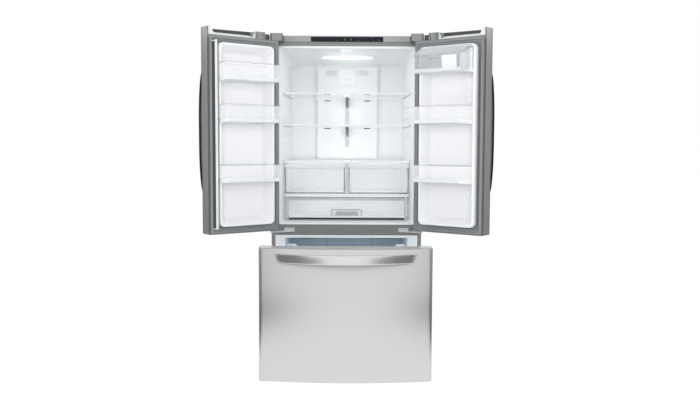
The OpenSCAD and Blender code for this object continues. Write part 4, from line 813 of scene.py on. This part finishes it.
BIN_PLAN = np.array([[74.7, 8.0], [312.3, 8.0], [331.7, 40.4], [343.0, 40.4],
                     [343.0, 110.0], [54.3, 110.0], [54.3, 40.4]]) + [DOOR_XA, DECK_Y]
BIN_SLANT = np.array([[0.0, 0.0]] * 3 + [[-2.0, 0.0], [-37.0, 0.0]] + [[0.0, 0.0]] * 2)
BIN_TALL, BIN_LEAN, DAIRY_TALL, DAIRY_RISE = 82.0, 6.0, 78.0, 36.0
BIN_R = np.array([8.0, 8.0, 2.0, 3.0, 14.0, 14.0, 2.0])
BIN_TURN = np.array([1.0, 1.0, -1.0, 1.0, 1.0, 1.0, 1.0])


def bin_rings(section, z0, side, height=BIN_TALL):
    """A bin's section (inset m, share f of the height, extra z) carried round its plan; the
    front leans back by 6 mm (1 - f)."""
    section = np.asarray(section, float)
    m, f = section[:, 0], section[:, 1]
    radius = np.maximum(BIN_R - BIN_TURN * m[:, None], 0.3)
    rings = rounded(BIN_PLAN + BIN_SLANT * (side > 0), radius, m, 7)
    v = rings[..., 1] - DECK_Y
    near = np.clip((v - 60.0) / 50.0, 0.0, 1.0)
    rings[..., 1] -= BIN_LEAN * (1.0 - f[:, None]) * near
    tall = height(v) if callable(height) else np.full(v.shape, float(height))
    return lift(rings, z0 + f[:, None] * tall + section[:, 2:3], "xyz")


CLEAR_WALL = [(0.0, 0.0, 12.0), (0.0, 0.93, 0.0), (0.3, 0.965, 0.0), (2.3, 0.965, 0.0),
              (2.6, 0.93, 0.0), (2.6, 0.0, 12.0)]
RIM = [(-0.7, 1.0, -3.6), (-1.2, 1.0, -2.4), (-1.0, 1.0, -0.9), (-0.2, 1.0, -0.1),
       (2.6, 1.0, -0.1), (3.3, 1.0, -0.8), (3.4, 1.0, -2.4), (2.9, 1.0, -3.6)]
TRAY = [(3.0, 0.0, 0.0), (0.8, 0.0, 0.2), (-0.4, 0.0, 1.4), (-0.6, 0.0, 15.0),
        (-0.1, 0.0, 16.6), (1.0, 0.0, 17.0), (2.6, 0.0, 17.0), (3.2, 0.0, 16.2),
        (3.2, 0.0, 5.5), (4.2, 0.0, 3.6), (6.5, 0.0, 3.0)]


def tray_rings(z0, side):
    """Base tray: its section carried round the plan, with the floor closed both ways; the
    underside falls by up to 6 mm towards the door and the free end."""
    rings = bin_rings(TRAY, z0, side)
    u, v = rings[:3, :, 0] - DOOR_XA, rings[:3, :, 1] - DECK_Y
    belly = np.clip((104.0 - v) / 70.0, 0.0, 1.0) * np.clip((u + 60.0) / 400.0, 0.3, 1.0)
    rings[:3, :, 2] -= 6.0 * belly
    return with_ends(rings, [0.0, 0.5, 0.9])


def dairy_height(v):
    """The covered bin's edge: 78 mm at the front, rising to 114 mm at the rim, and lower
    again inside the dyke."""
    return np.where(v > 40.2, DAIRY_TALL + DAIRY_RISE * (110.0 - v) / 70.0,
                    98.0 - 0.65 * (40.0 - v))


for side, levels in ((-1, ("upper", "middle", "lower")), (1, ("middle", "lower"))):
    for level in levels:
        label, z0 = level + "_bin", BIN_Z[level]
        on_doors(label + "_wall", bin_rings(CLEAR_WALL, z0, side), CLEAR, "clear_plastic",
                 (side,), label, along=True, sharp=35.0)
        on_doors(label + "_rim", bin_rings(RIM, z0, side), CLEAR_EDGE, "clear_plastic",
                 (side,), along=True, sharp=50.0)
        on_doors(label + "_tray", tray_rings(z0, side), TRIM_WHITE, "white_plastic", (side,))
make("dairy_bin_tray", swung(tray_rings(DAIRY_Z, 1), 1), TRIM_WHITE, "right_door",
     "white_plastic")
make("dairy_bin_rim", swung(bin_rings(RIM, DAIRY_Z, 1, dairy_height), 1), CLEAR_EDGE,
     "right_door", "clear_plastic", along=True, sharp=50.0)


def dairy_side():
    """White end panel inside the covered bin's slanted free side; its top follows the
    bin's sloped edge 1.5 mm below it."""
    plan = np.array([[301.8, 103.5], [335.6, 43.5], [333.6, 42.4], [299.8, 102.4]])
    rings = rounded(plan + [DOOR_XA, DECK_Y], 0.9, [0.3, 0.0, 0.0, 0.3], 3)
    edge = dairy_height(rings[..., 1] - DECK_Y)
    height = np.stack(np.broadcast_arrays(3.2, 4.0, edge[2] - 2.3, edge[3] - 1.5))
    rings[..., 1] -= BIN_LEAN * np.clip(1.0 - height / DAIRY_TALL, 0.0, 1.0)
    return lift(rings, DAIRY_Z + height, "xyz")


def dairy_front():
    """White front plate on the covered bin's free half, leaning with its wall."""
    rings = rounded(box_loop(211.0, 289.0, 110.3, 111.3) + [DOOR_XA, DECK_Y], 0.7,
                    [0.4, 0.0, 0.0, 0.4], 3)
    height = np.array([4.0, 4.6, 73.4, 74.0])
    rings[..., 1] -= BIN_LEAN * (1.0 - height[:, None] / DAIRY_TALL)
    return lift(rings, DAIRY_Z + height, "xyz")


make("dairy_front_panel", swung(dairy_front(), 1), DOOR_LINER, "right_door", "white_plastic",
     caps=True, sharp=50.0)
make("dairy_side_panel", swung(dairy_side(), 1), TRIM_WHITE, "right_door", "white_plastic",
     caps=True, sharp=50.0)


# ---- folding mullion ---------------------------------------------------------------------

def flap_face():
    """Metal face of the flap, 0.3 mm proud, with a dimpled band near its top: the relief is
    0.25 cos(pi y / 4) cos(pi z / 4) there and nothing elsewhere."""
    y0, y1, z0, z1 = 1.4, 32.3, 771.0, 1629.0
    z = np.concatenate([[z0, z0 + 0.4], np.linspace(z0 + 5.0, 1460.0, 40),
                        np.linspace(1462.0, z1 - 5.0, 163), [z1 - 0.4, z1]])
    y = np.concatenate([[y0, y0 + 0.3], np.linspace(2.4, 31.4, 30), [y1 - 0.3, y1]])
    zz, yy = np.meshgrid(z, y, indexing="ij")
    inside = np.clip((zz - 1464.0) / 4.0, 0.0, 1.0) * np.clip((1620.0 - zz) / 4.0, 0.0, 1.0)
    inside = inside * np.clip((yy - 4.0) / 2.0, 0.0, 1.0) * np.clip((29.5 - yy) / 2.0, 0.0, 1.0)
    relief = 0.25 * np.cos(math.pi * yy / 4.0) * np.cos(math.pi * zz / 4.0) * inside
    rim = np.minimum(np.minimum(yy - y0, y1 - yy), np.minimum(zz - z0, z1 - zz))
    x = -9.4 + 0.3 * np.clip(rim / 0.7, 0.0, 1.0) - relief * (rim > 1.0)
    return np.stack([x, yy, zz], -1)


make("flap_face_plate", swung(flap_face(), -1), FLAP_METAL, "mullion", "gray_plastic",
     around=False, sharp=60.0, facing=swung(np.array([400.0, 17.0, 1200.0]), -1))


# ---- fresh food room ---------------------------------------------------------------------

ROOM_W, ROOM_D, ROOM_Z0, ROOM_Z1 = 334.0, 590.0, 766.0, 1638.0
ROOM_LEAN, ROOM_FALL = 17.0, 28.0
DUCT_Y, FILTER_Y, VENT_BACKING_Y = 562.0, 556.0, (565.3, 567.0)


def room_w(y):
    """Half width of the room: its side walls lean in evenly over the depth."""
    return ROOM_W - ROOM_LEAN * y / ROOM_D


def room_z(y):
    """Ceiling height, which falls evenly over the depth."""
    return ROOM_Z1 - ROOM_FALL * y / ROOM_D


def room_shell():
    """The liner as rings from its front lip over the round mouth and along the drafted
    walls; near the back the rings draw in on a quarter circle of 30 mm, then the back wall
    closes to its middle."""
    mouth = np.linspace(0.0, math.pi / 2.0, 6)
    walls = np.linspace(4.0, ROOM_D - 30.0, 24)
    turn = np.linspace(0.0, math.pi / 2.0, 9)[1:]
    y = np.concatenate([3.0 * (1.0 - np.cos(mouth)), walls,
                        ROOM_D - 30.0 + 30.0 * np.sin(turn)])
    inset = np.concatenate([-3.0 * (1.0 - np.sin(mouth)), walls * 0.0,
                            30.0 * (1.0 - np.cos(turn))])
    corner = np.interp(y, [0.0, 20.0, 400.0, 540.0, 590.0], [9.0, 11.0, 16.0, 58.0, 34.0])
    rings = np.stack([rounded(box_loop(-room_w(v), room_w(v), ROOM_Z0, room_z(v)), r, m, 8)[0]
                      for v, m, r in zip(y, inset, corner)])
    lip = [rounded(box_loop(-358.0, 358.0, 760.0, 1649.0), 2.0, m, 8)[0]
           for m in (0.0, 0.0, 0.6)]
    back = towards_middle(rings[-1], np.linspace(0.9, 0.0, 6))
    flat = np.concatenate([np.array(lip), rings, back])
    depth = np.concatenate([[3.0, 0.6, 0.0], y, np.full(6, ROOM_D)])
    return lift(flat, depth, "xzy")


make("room_liner_shell", room_shell(), LINER, "root", "white_plastic", "fridge_liner",
     sharp=60.0, facing=(0.0, 250.0, 1200.0), wall=0.002)


def wall_ledge(z, side):
    """Half-round ledge along a side wall; its section fades to nothing over 20 mm at each
    end: reach = 6 sqrt(sin) of the share of the fade."""
    y = np.concatenate([np.linspace(140.0, 160.0, 8), np.linspace(170.0, 530.0, 6),
                        np.linspace(535.0, 552.0, 8)])
    share = np.clip(np.minimum(y - 139.5, 552.5 - y) / 18.0, 0.02, 1.0)
    fade = np.sqrt(np.sin(share * math.pi / 2.0))
    a = np.linspace(-math.pi / 2.0, math.pi / 2.0, 9)
    out = np.concatenate([np.cos(a) * 6.0, [-1.0, -1.0]])
    up = np.concatenate([np.sin(a) * 3.4, [3.4, -3.4]])
    x = room_w(y)[:, None] - out * fade[:, None]
    return np.stack([side * x, np.broadcast_to(y[:, None], x.shape),
                     z - 3.5 + up * fade[:, None]], -1)


LEDGE_Z = (1420.0, 1364.0, 1309.0, 1258.0, 1210.0, 1067.0, 893.0)
make("room_ledges", [wall_ledge(z, side) for z in LEDGE_Z for side in (-1, 1)], LINER,
     "root", "white_plastic", caps=True, sharp=50.0)


def duct_head():
    """Cove that carries the duct's face up into the ceiling: a quarter ellipse of 46 mm by
    28 mm across the room's depth, which follows the ceiling's fall, drawn out along X."""
    near, deep, tall, back, foot = 516.3, 46.0, 28.0, 588.0, 1604.5
    a = np.linspace(0.0, math.pi / 2.0, 12)
    top = room_z(516.0) - 0.3
    cove = np.stack([near + deep * np.cos(a), top - tall + tall * np.sin(a)], 1)
    profile = np.concatenate([[[back, foot], [near + deep, foot]], cove, [[back, top]]])
    fall = ROOM_FALL / ROOM_D * np.maximum(profile[:, 0] - near, 0.0)
    profile[:, 1] -= fall * (profile[:, 1] > foot)
    rings = towards_middle(profile, [0.99, 1.0, 1.0, 0.99])
    return lift(rings, [-174.6, -174.0, 174.0, 174.6], "yzx")


make("duct_head", duct_head(), LINER, "root", "white_plastic", caps=True, sharp=50.0)


def outline(x0, x1, z0, z1, r, y, width=1.3):
    """Thin line round a rounded rectangle on a face at depth y."""
    rings = np.concatenate([rounded(box_loop(x0, x1, z0, z1), max(r - m, 0.3), m, 6)
                            for m in (0.0, 0.2, width - 0.2, width)])
    return lift(rings, [y + 0.1, y - 0.3, y - 0.3, y + 0.1], "xzy")


make("filter_cover_line", outline(-53.6, 53.6, 1492.4, 1599.6, 26.0, FILTER_Y), GROOVE, "root",
     "white_plastic", sharp=50.0)
make_blocks("filter_cover_marks", [(x0, x1, FILTER_Y - 0.5, FILTER_Y + 0.2, z0, z1)
                                   for x0, x1, z0, z1 in ((-16.0, -4.0, 1530.0, 1533.0),
                                                          (6.0, 22.0, 1530.5, 1532.5))],
            0.2, GROOVE, "root", "white_plastic")
make("duct_slots", [outline(x - 34.0, x + 34.0, 1560.0, 1579.0, 3.0, DUCT_Y, 1.8)
                    for x in (-83.0, 83.0)], GROOVE, "root", "white_plastic", sharp=50.0)
make_blocks("flap_guide", [(-33.0, 33.0, 16.0, 40.0, 1619.5, 1640.0)], 5.0, LINER, "root",
            "white_plastic", 50.0)


# Shelves: a moulded frame round the glass of each half, and a folded bracket below it
SHELF_Z = (1430.0, 1268.0)
SHELF_BACK, SHELF_THICK, SEAT_Z, SEAT_SHARE = 556.0, 7.5, 3.5, 0.55
# widths of the front, wall, back and middle bars; the left half's order is mirrored
BARS = {1: (14.0, 12.0, 6.0, 12.0), -1: (6.0, 12.0, 14.0, 12.0)}


def half_plan(side, y0=140.0, y1=SHELF_BACK, middle=1.5, gap=2.0):
    """Plan of half the room's width, from the middle line to a gap at the leaning wall; the
    left half is the right one's mirror image with the same turn."""
    plan = np.array([[middle, y0], [room_w(y0) - gap, y0], [room_w(y1) - gap, y1],
                     [middle, y1]])
    return plan if side > 0 else (plan * [-1.0, 1.0])[::-1]


def trim_frame(plan, z1, widths):
    """Frame of rounded section round a plan, its bars as wide as `widths` says edge by edge;
    its inner edge steps down to seat the glass. A ring's corners lie at the share a of the
    way from the outer to the inner outline."""
    section = rounded([[0.0, 0.0], [1.0, 0.0], [1.0, SEAT_Z], [SEAT_SHARE, SEAT_Z],
                       [SEAT_SHARE, SHELF_THICK], [0.0, SHELF_THICK]],
                      [0.12, 0.05, 0.05, 0.02, 0.03, 0.16], 0.0, 3)[0]
    edge = np.roll(plan, -1, 0) - plan
    normal = np.stack([-edge[:, 1], edge[:, 0]], 1) / np.linalg.norm(edge, axis=1)[:, None]
    start = plan + normal * np.asarray(widths)[:, None]
    inner = []
    for k in range(len(plan)):
        mat = np.stack([edge[k - 1], -edge[k]], 1)
        along = np.linalg.solve(mat, start[k] - start[k - 1])[0]
        inner.append(start[k - 1] + along * edge[k - 1])
    inner = np.array(inner)
    rings = [rounded(plan + a * (inner - plan), 8.0 - 6.0 * a, 0.0, 5)[0]
             for a in section[:, 0]]
    return lift(np.array(rings), z1 - SHELF_THICK + section[:, 1], "xyz")


make("shelf_trim_frames", [trim_frame(half_plan(side), z, BARS[side])
                           for z in SHELF_Z for side in (-1, 1)],
     SHELF_WHITE, "root", "white_plastic", "shelf_frames", along=True, sharp=50.0)


def shelf_bracket(under, x):
    """Pressed bracket of 2.4 mm sheet: its lower edge runs from the rail to the frame."""
    back, tip = SHELF_BACK, SHELF_BACK - 200.0
    sheet = rounded([[back, under - 0.2], [back, under - 52.0], [back - 20.0, under - 50.0],
                     [tip, under - 5.0], [tip, under - 0.2]], [0.5, 3.0, 8.0, 2.0, 0.5], 0.0,
                    4)[0]
    return lift(towards_middle(sheet, [0.992, 1.0, 1.0, 0.992]),
                [x - 1.2, x - 0.8, x + 0.8, x + 1.2], "yzx")


BRACKET_X = (-5.0, 5.0)
make("shelf_brackets", [shelf_bracket(z - SHELF_THICK, x) for z in SHELF_Z for x in BRACKET_X],
     GRAY, "root", "gray_plastic", caps=True)
make_blocks("bracket_hooks", [(x - 1.1, x + 1.1, SHELF_BACK - 1.0, 561.0, z - 4.0, z + 5.0)
                              for s in SHELF_Z for x in BRACKET_X for z in (s - 22.0, s - 48.0)],
            0.8, DARK, "root", "gray_plastic")

# Air panel: backing behind its vents and louvres
make_blocks("vent_backing", [(x - 19.0, x + 19.0, *VENT_BACKING_Y, z - 5.0, z + 5.0)
                             for x in (-113.0, 113.0) for z in (1449.0, 1412.0, 1256.0)], 0.5,
            DARK, "root", "gray_plastic")
make_blocks("louvre_backing", [(x - 33.0, x + 33.0, *VENT_BACKING_Y, 1552.0, 1575.0)
                               for x in (-92.0, 92.0)], 0.5, LINER, "root", "white_plastic")


# ---- crispers and pantry -----------------------------------------------------------------

CRISPER_Y0, CRISPER_Y1 = 150.0, 540.0


def drawer_tub(plan, z0, z1):
    """Clear tub: walls of 2.6 mm with a round foot, an eased rim and a closed floor."""
    tall = z1 - z0
    section = np.array([(9.0, 0.0), (3.0, 0.0), (0.8, 1.0), (0.0, 4.0), (0.0, tall - 1.2),
                        (0.6, tall), (2.0, tall), (2.6, tall - 1.2), (2.6, 6.0), (3.6, 3.6),
                        (6.6, 2.8), (12.0, 2.8)])
    radius = np.maximum(9.0 - section[:, 0], 0.5)[:, None]
    return with_ends(lift(rounded(plan, radius, section[:, 0], 6), z0 + section[:, 1], "xyz"),
                     [0.0, 0.5])


def pull_band(x0, x1, z1):
    """Pull across a crisper's front: a rounded bar whose lower edge is 24 - 8 q^2 below its
    top, q from -1 to 1."""
    q = np.concatenate([[-1.0, -0.997, -0.99], np.linspace(-0.97, 0.97, 45),
                        [0.99, 0.997, 1.0]])
    ease = np.interp(np.abs(q), [0.0, 0.985, 0.995, 1.0], [1.0, 1.0, 0.93, 0.75])
    ring = rounded(box_loop(0.0, 7.0, 0.0, 24.0), 3.0, 0.0, 5)[0]
    low = (24.0 - 8.0 * q * q) / 24.0
    x = (x0 + x1) / 2.0 + (x1 - x0) / 2.0 * q
    return np.stack(np.broadcast_arrays(x[:, None], CRISPER_Y0 - ring[:, 0] * ease[:, None],
                                        z1 - ring[:, 1] * low[:, None]), -1)


def edge_frame(x0, x1, z0, z1, y, width=3.0, deep=3.0):
    """Thin rounded frame round a front."""
    section = rounded(box_loop(0.0, width, 0.0, deep), 0.9, 0.0, 2)[0]
    radius = np.maximum(7.0 - section[:, 0], 1.0)[:, None]
    return lift(rounded(box_loop(x0, x1, z0, z1), radius, section[:, 0], 5),
                y + section[:, 1], "xzy")


for side in (-1, 1):
    hand = HANDS[side]
    body, node = hand + "crisper", "crisper_" + hand[:-1]
    plan = half_plan(side, CRISPER_Y0, CRISPER_Y1, 10.0, 6.5)
    x0, x1 = plan[:, 0].min(), plan[:, 0].max()
    floor_z, top_z = (corner[2] * 1000.0 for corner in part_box(node))
    make(node + "_tub", drawer_tub(plan, floor_z + 3.7, top_z), CLEAR, body, "clear_plastic",
         node, sharp=35.0)
    make(node + "_band", pull_band(x0, x1, top_z), TRIM_WHITE, body, "white_plastic",
         caps=True, sharp=50.0)
    make(node + "_edge", edge_frame(x0 + 0.3, x1 - 0.3, floor_z + 3.9, top_z - 0.3,
                                    CRISPER_Y0 - 0.8, 3.6), EDGE_LINE, body, "clear_plastic",
         along=True, sharp=50.0)
    make_blocks(node + "_runners", [(side * x - 3.0, side * x + 3.0, CRISPER_Y0 + 8.0,
                                     CRISPER_Y1 - 8.0, floor_z, floor_z + 4.5)
                                    for x in (27.0, room_w(CRISPER_Y1) - 27.5)], 1.2,
                TRIM_WHITE, body, "white_plastic")

PANTRY_Y = 149.2
make("pantry_edge", edge_frame(-308.0, 308.0, 780.2, 888.8, PANTRY_Y), EDGE_LINE, "pantry",
     "clear_plastic", along=True, sharp=50.0)
make_blocks("pantry_sill", [(-305.0, 305.0, 148.6, 156.0, 781.0, 793.0)], 2.0, TRIM_WHITE,
            "pantry", "white_plastic", 50.0)
# painted shade: a black strip fills the gap under the pantry drawer
make_blocks("pantry_foot_gap_shade", [(-303.0, 303.0, 152.0, 157.0, 771.0, 779.6)], 1.5, BLACK,
            "pantry", "black_plastic", 50.0)
# painted shade: a gray plate on the pantry front for the shade in the pull's finger recess
pad = rounded([[-66.0, 790.6], [66.0, 790.6], [52.0, 814.0], [-52.0, 814.0]], 3.0,
              [0.4, 0.0, 0.0, 0.4], 4)
make("pantry_pull_shade", lift(pad, np.array([0.1, 0.3, 1.1, 1.3]) + PANTRY_Y, "xzy"),
     PULL_SHADE_AND_PRINT_GRAY, "pantry", "clear_plastic", caps=True, sharp=50.0)
# painted shade: a gray band across the top of the pantry front, under the sill
make_blocks("pantry_top_shade_band", [(-298.0, 298.0, PANTRY_Y + 0.2, PANTRY_Y + 1.0, 872.0, 887.0)],
            0.3, CLEAR_EDGE, "pantry", "clear_plastic")
make_blocks("pantry_marks", [(x - 3.4, x + 3.4, PANTRY_Y + 0.1, PANTRY_Y + 0.7, 841.0, 843.4)
                             for x in (-32.0, -22.0, -12.0, 4.0, 14.0, 24.0, 34.0)], 0.2,
            PULL_SHADE_AND_PRINT_GRAY, "pantry", "clear_plastic")
make("pantry_pull_edge", edge_frame(-81.0, 81.0, 790.0, 824.5, PANTRY_Y - 0.2, deep=2.0),
     EDGE_LINE, "pantry", "clear_plastic", along=True, sharp=50.0)


# ---- header ------------------------------------------------------------------------------

HEADER_Y, HEADER_Z = -9.0, 1683.0


def disc(x, y, r, tall=0.5):
    """Flat round button on the header, facing the front: rings of radius r and 0.8 r."""
    return lift(circles(x, HEADER_Z, [r, r, r * 0.8], 24), [y, y - tall * 0.7, y - tall], "xzy")


make("panel_marks_green", [disc(x, HEADER_Y, 2.2) for x in (-10.0, 19.0)], GREEN_MARK, "root",
     "black_glass", caps=True)
make("panel_marks_pale", [disc(x, HEADER_Y, 1.4) for x in (-52.0, 56.0, 128.0, 156.0)]
     + [cushion_box(x - w, x + w, HEADER_Y - 0.5, HEADER_Y, 1676.0, 1677.2, 0.2)
        for x, w in ((-52.0, 6.0), (-10.0, 5.0), (19.0, 5.0), (56.0, 8.0), (128.0, 6.0),
                     (156.0, 5.0))], PALE_MARK, "root", "black_glass", caps=True)
make("header_screws", [disc(x, HEADER_Y + 1.0, 2.6, 0.6) for x in (-277.0, 277.0)], DARK, "root",
     "gray_plastic", caps=True)


# ---- freezer -----------------------------------------------------------------------------

def fan_guard():
    """Rippled guard over the freezer's fan: a shallow dome of revolution whose depth is
    3 cos(pi r / 106) + 0.6 cos(pi r / 3.5)."""
    r = np.linspace(0.6, 52.0, 60)
    depth = 500.2 - 3.0 * np.cos(math.pi * r / 106.0) - 0.6 * np.cos(math.pi * r / 3.5)
    rings = circles(0.6, 610.0, np.concatenate([r, [53.0, 53.0]]), 48)
    return lift(rings, np.concatenate([depth, [499.0, 500.4]]), "xzy")


make("fan_guard", fan_guard(), COVER, "root", "gray_plastic", caps=True, sharp=50.0)
make_blocks("evaporator_seams", [(x - 1.4, x + 1.4, 499.0, 500.6, 330.0, 690.0)
                                 for x in (-112.0, 144.0)], 0.5, DARK, "root", "gray_plastic")
for side in (-1, 1):
    plan = rounded([[-376.5, -560.0], [-362.0, -576.0], [-322.0, -582.0], [-322.0, -504.0],
                    [-376.5, -504.0]], 3.0, [0.0, 0.0, 0.8], 4)
    plan[..., 0] *= -side
    make("drawer_end_cap_" + HANDS[side][:-1], lift(plan, [713.0, 715.4, 716.2], "xyz"),
         PALE_CAP, "drawer", "silver_plastic", caps=True)


# ---- studio ------------------------------------------------------------------------------

def placed(item, right, up, back, place):
    """Links a camera or a lamp whose own X, Y and Z point right, up and back."""
    rows = [list(row) for row in zip(right, up, back, place)]
    item.matrix_world = Matrix(rows + [[0.0, 0.0, 0.0, 1.0]])
    bpy.context.scene.collection.objects.link(item)
    return item


def set_camera(tilt=0.074, roll=0.004):
    """Camera at chest height, tilted down a little and rolled a hair."""
    data = bpy.data.cameras.new("view")
    data.sensor_width = 36.0
    data.lens = 40.49
    data.clip_end = 200.0
    level = np.array([1.0, 0.0, 0.0])
    upright = np.array([0.0, math.sin(tilt), math.cos(tilt)])
    bpy.context.scene.camera = placed(
        bpy.data.objects.new("view", data), math.cos(roll) * level + math.sin(roll) * upright,
        math.cos(roll) * upright - math.sin(roll) * level,
        (0.0, -math.cos(tilt), math.sin(tilt)), (0.0178, -3.9558, 1.1498))


def soft_light(name, place, aim, width, height, power):
    """A rectangular soft box at `place`, turned towards `aim`, unseen itself."""
    data = bpy.data.lights.new(name, "AREA")
    data.shape = "RECTANGLE"
    data.size, data.size_y = width, height
    data.energy = power
    back = np.subtract(place, aim)
    back = back / np.linalg.norm(back)
    side = np.cross([0.0, 0.0, 1.0], back)
    side = side / np.linalg.norm(side)
    light = placed(bpy.data.objects.new(name, data), side, np.cross(back, side), back, place)
    light.visible_camera = False
    light.visible_glossy = False


def plain_world(level):
    """Soft ambient light; cameras, gloss and clear sheet see the white background."""
    world = bpy.data.worlds.new("studio")
    world.use_nodes = True
    sky = Shader(world.node_tree)
    ambient = sky.node("Background", Color=WHITE, Strength=level)
    backdrop = sky.node("Background", Color=WHITE)
    sky.node("OutputWorld", Surface=sky.mix(sky.white_rays(), ambient, backdrop))
    bpy.context.scene.world = world


def stage_plane(name, corners, material):
    """One four-cornered face of the studio."""
    mesh = bpy.data.meshes.new(name)
    mesh.from_pydata(corners, [], [(0, 1, 2, 3)])
    mesh.materials.append(material)
    plane = bpy.data.objects.new(name, mesh)
    bpy.context.scene.collection.objects.link(plane)
    return plane


def lying(xa, xb, ya, yb, z=0.0):
    """Corners of a level plane."""
    return [(xa, ya, z), (xb, ya, z), (xb, yb, z), (xa, yb, z)]


def standing(xa, ya, xb, yb, top=2.8):
    """Corners of a plane that stands on the floor from (xa, ya) to (xb, yb)."""
    return [(xa, ya, 0.0), (xb, yb, 0.0), (xb, yb, top), (xa, ya, top)]


def pale_floor():
    """Wide floor that reads as the white backdrop and keeps part of the shadow."""
    f = Finish("pale_floor")
    lit = f.node("BsdfDiffuse", Color=(0.86, 0.86, 0.86))
    white = f.node("Emission", Color=WHITE, Strength=1.04)
    stage_plane("floor", lying(-30.0, 30.0, -30.0, 30.0),
                f.close(f.mix(f.white_rays() * 0.97, lit, white)))


def gray_card(name, level, corners):
    """Plane that only gloss sees, so that bare metal gets darker flanks."""
    f = Finish(name)
    card = stage_plane(name, corners, f.close(f.node("Emission", Color=WHITE, Strength=level)))
    card.visible_camera = False
    card.visible_diffuse = False
    card.visible_transmission = False
    card.visible_shadow = False


set_camera()
plain_world(0.53)
pale_floor()
for side, level, inner in ((-1, 0.07, 0.85), (1, 0.16, 0.95)):
    front = "front_" + HANDS[side]
    gray_card(front + "card", level, standing(side * 3.4, -2.3, side * 1.6, -2.55))
    gray_card(front + "low_card", level,
              standing(side * 1.6, -2.55, side * inner, -2.7, 0.36))
for side, hand in HANDS.items():
    gray_card(hand + "card", 0.38, standing(side * 3.2, -2.3, side * 3.0, 1.6))
    gray_card(hand + "rear_card", 0.03, standing(side * 3.0, 1.6, side * 0.9, 4.4))
    for part, level, ya, yb in (("fore", 0.05, -2.6, -0.5), ("aft", 0.3, -0.5, 3.4)):
        gray_card(hand + part + "_floor_card", level,
                  lying(side * 0.95, side * 3.3, ya, yb, 0.004))
soft_light("key", (0.0, -4.8, 2.3), (0.0, 0.0, 1.2), 3.0, 2.0, 38.0)
soft_light("front", (0.0, -4.7, 1.15), (0.0, 0.0, 1.15), 2.6, 1.6, 32.0)
soft_light("left_fill", (-3.6, -2.6, 1.9), (0.0, -0.2, 0.9), 2.0, 2.4, 46.0)
soft_light("right_fill", (3.6, -2.6, 1.9), (0.0, -0.2, 0.9), 2.0, 2.4, 42.0)
soft_light("top", (0.0, -0.4, 4.4), (0.0, 0.0, 0.8), 3.0, 3.0, 34.0)
soft_light("room_left", (0.12, 0.25, 1.32), (-0.6, 0.24, 1.34), 0.2, 0.4, 0.51)
soft_light("room_right", (-0.12, 0.25, 1.32), (0.6, 0.24, 1.34), 0.2, 0.4, 0.62)
soft_light("crispers", (0.0, 0.3, 0.92), (0.0, 1.0, 0.92), 0.60, 0.26, 0.86)
soft_light("freezer", (0.0, 0.03, 0.62), (0.0, 1.0, 0.55), 0.6, 0.14, 1.1)
soft_light("rear", (0.6, 4.4, 2.6), (0.0, 0.4, 0.9), 3.0, 2.4, 50.0)

bpy.context.scene.view_settings.view_transform = "Standard"
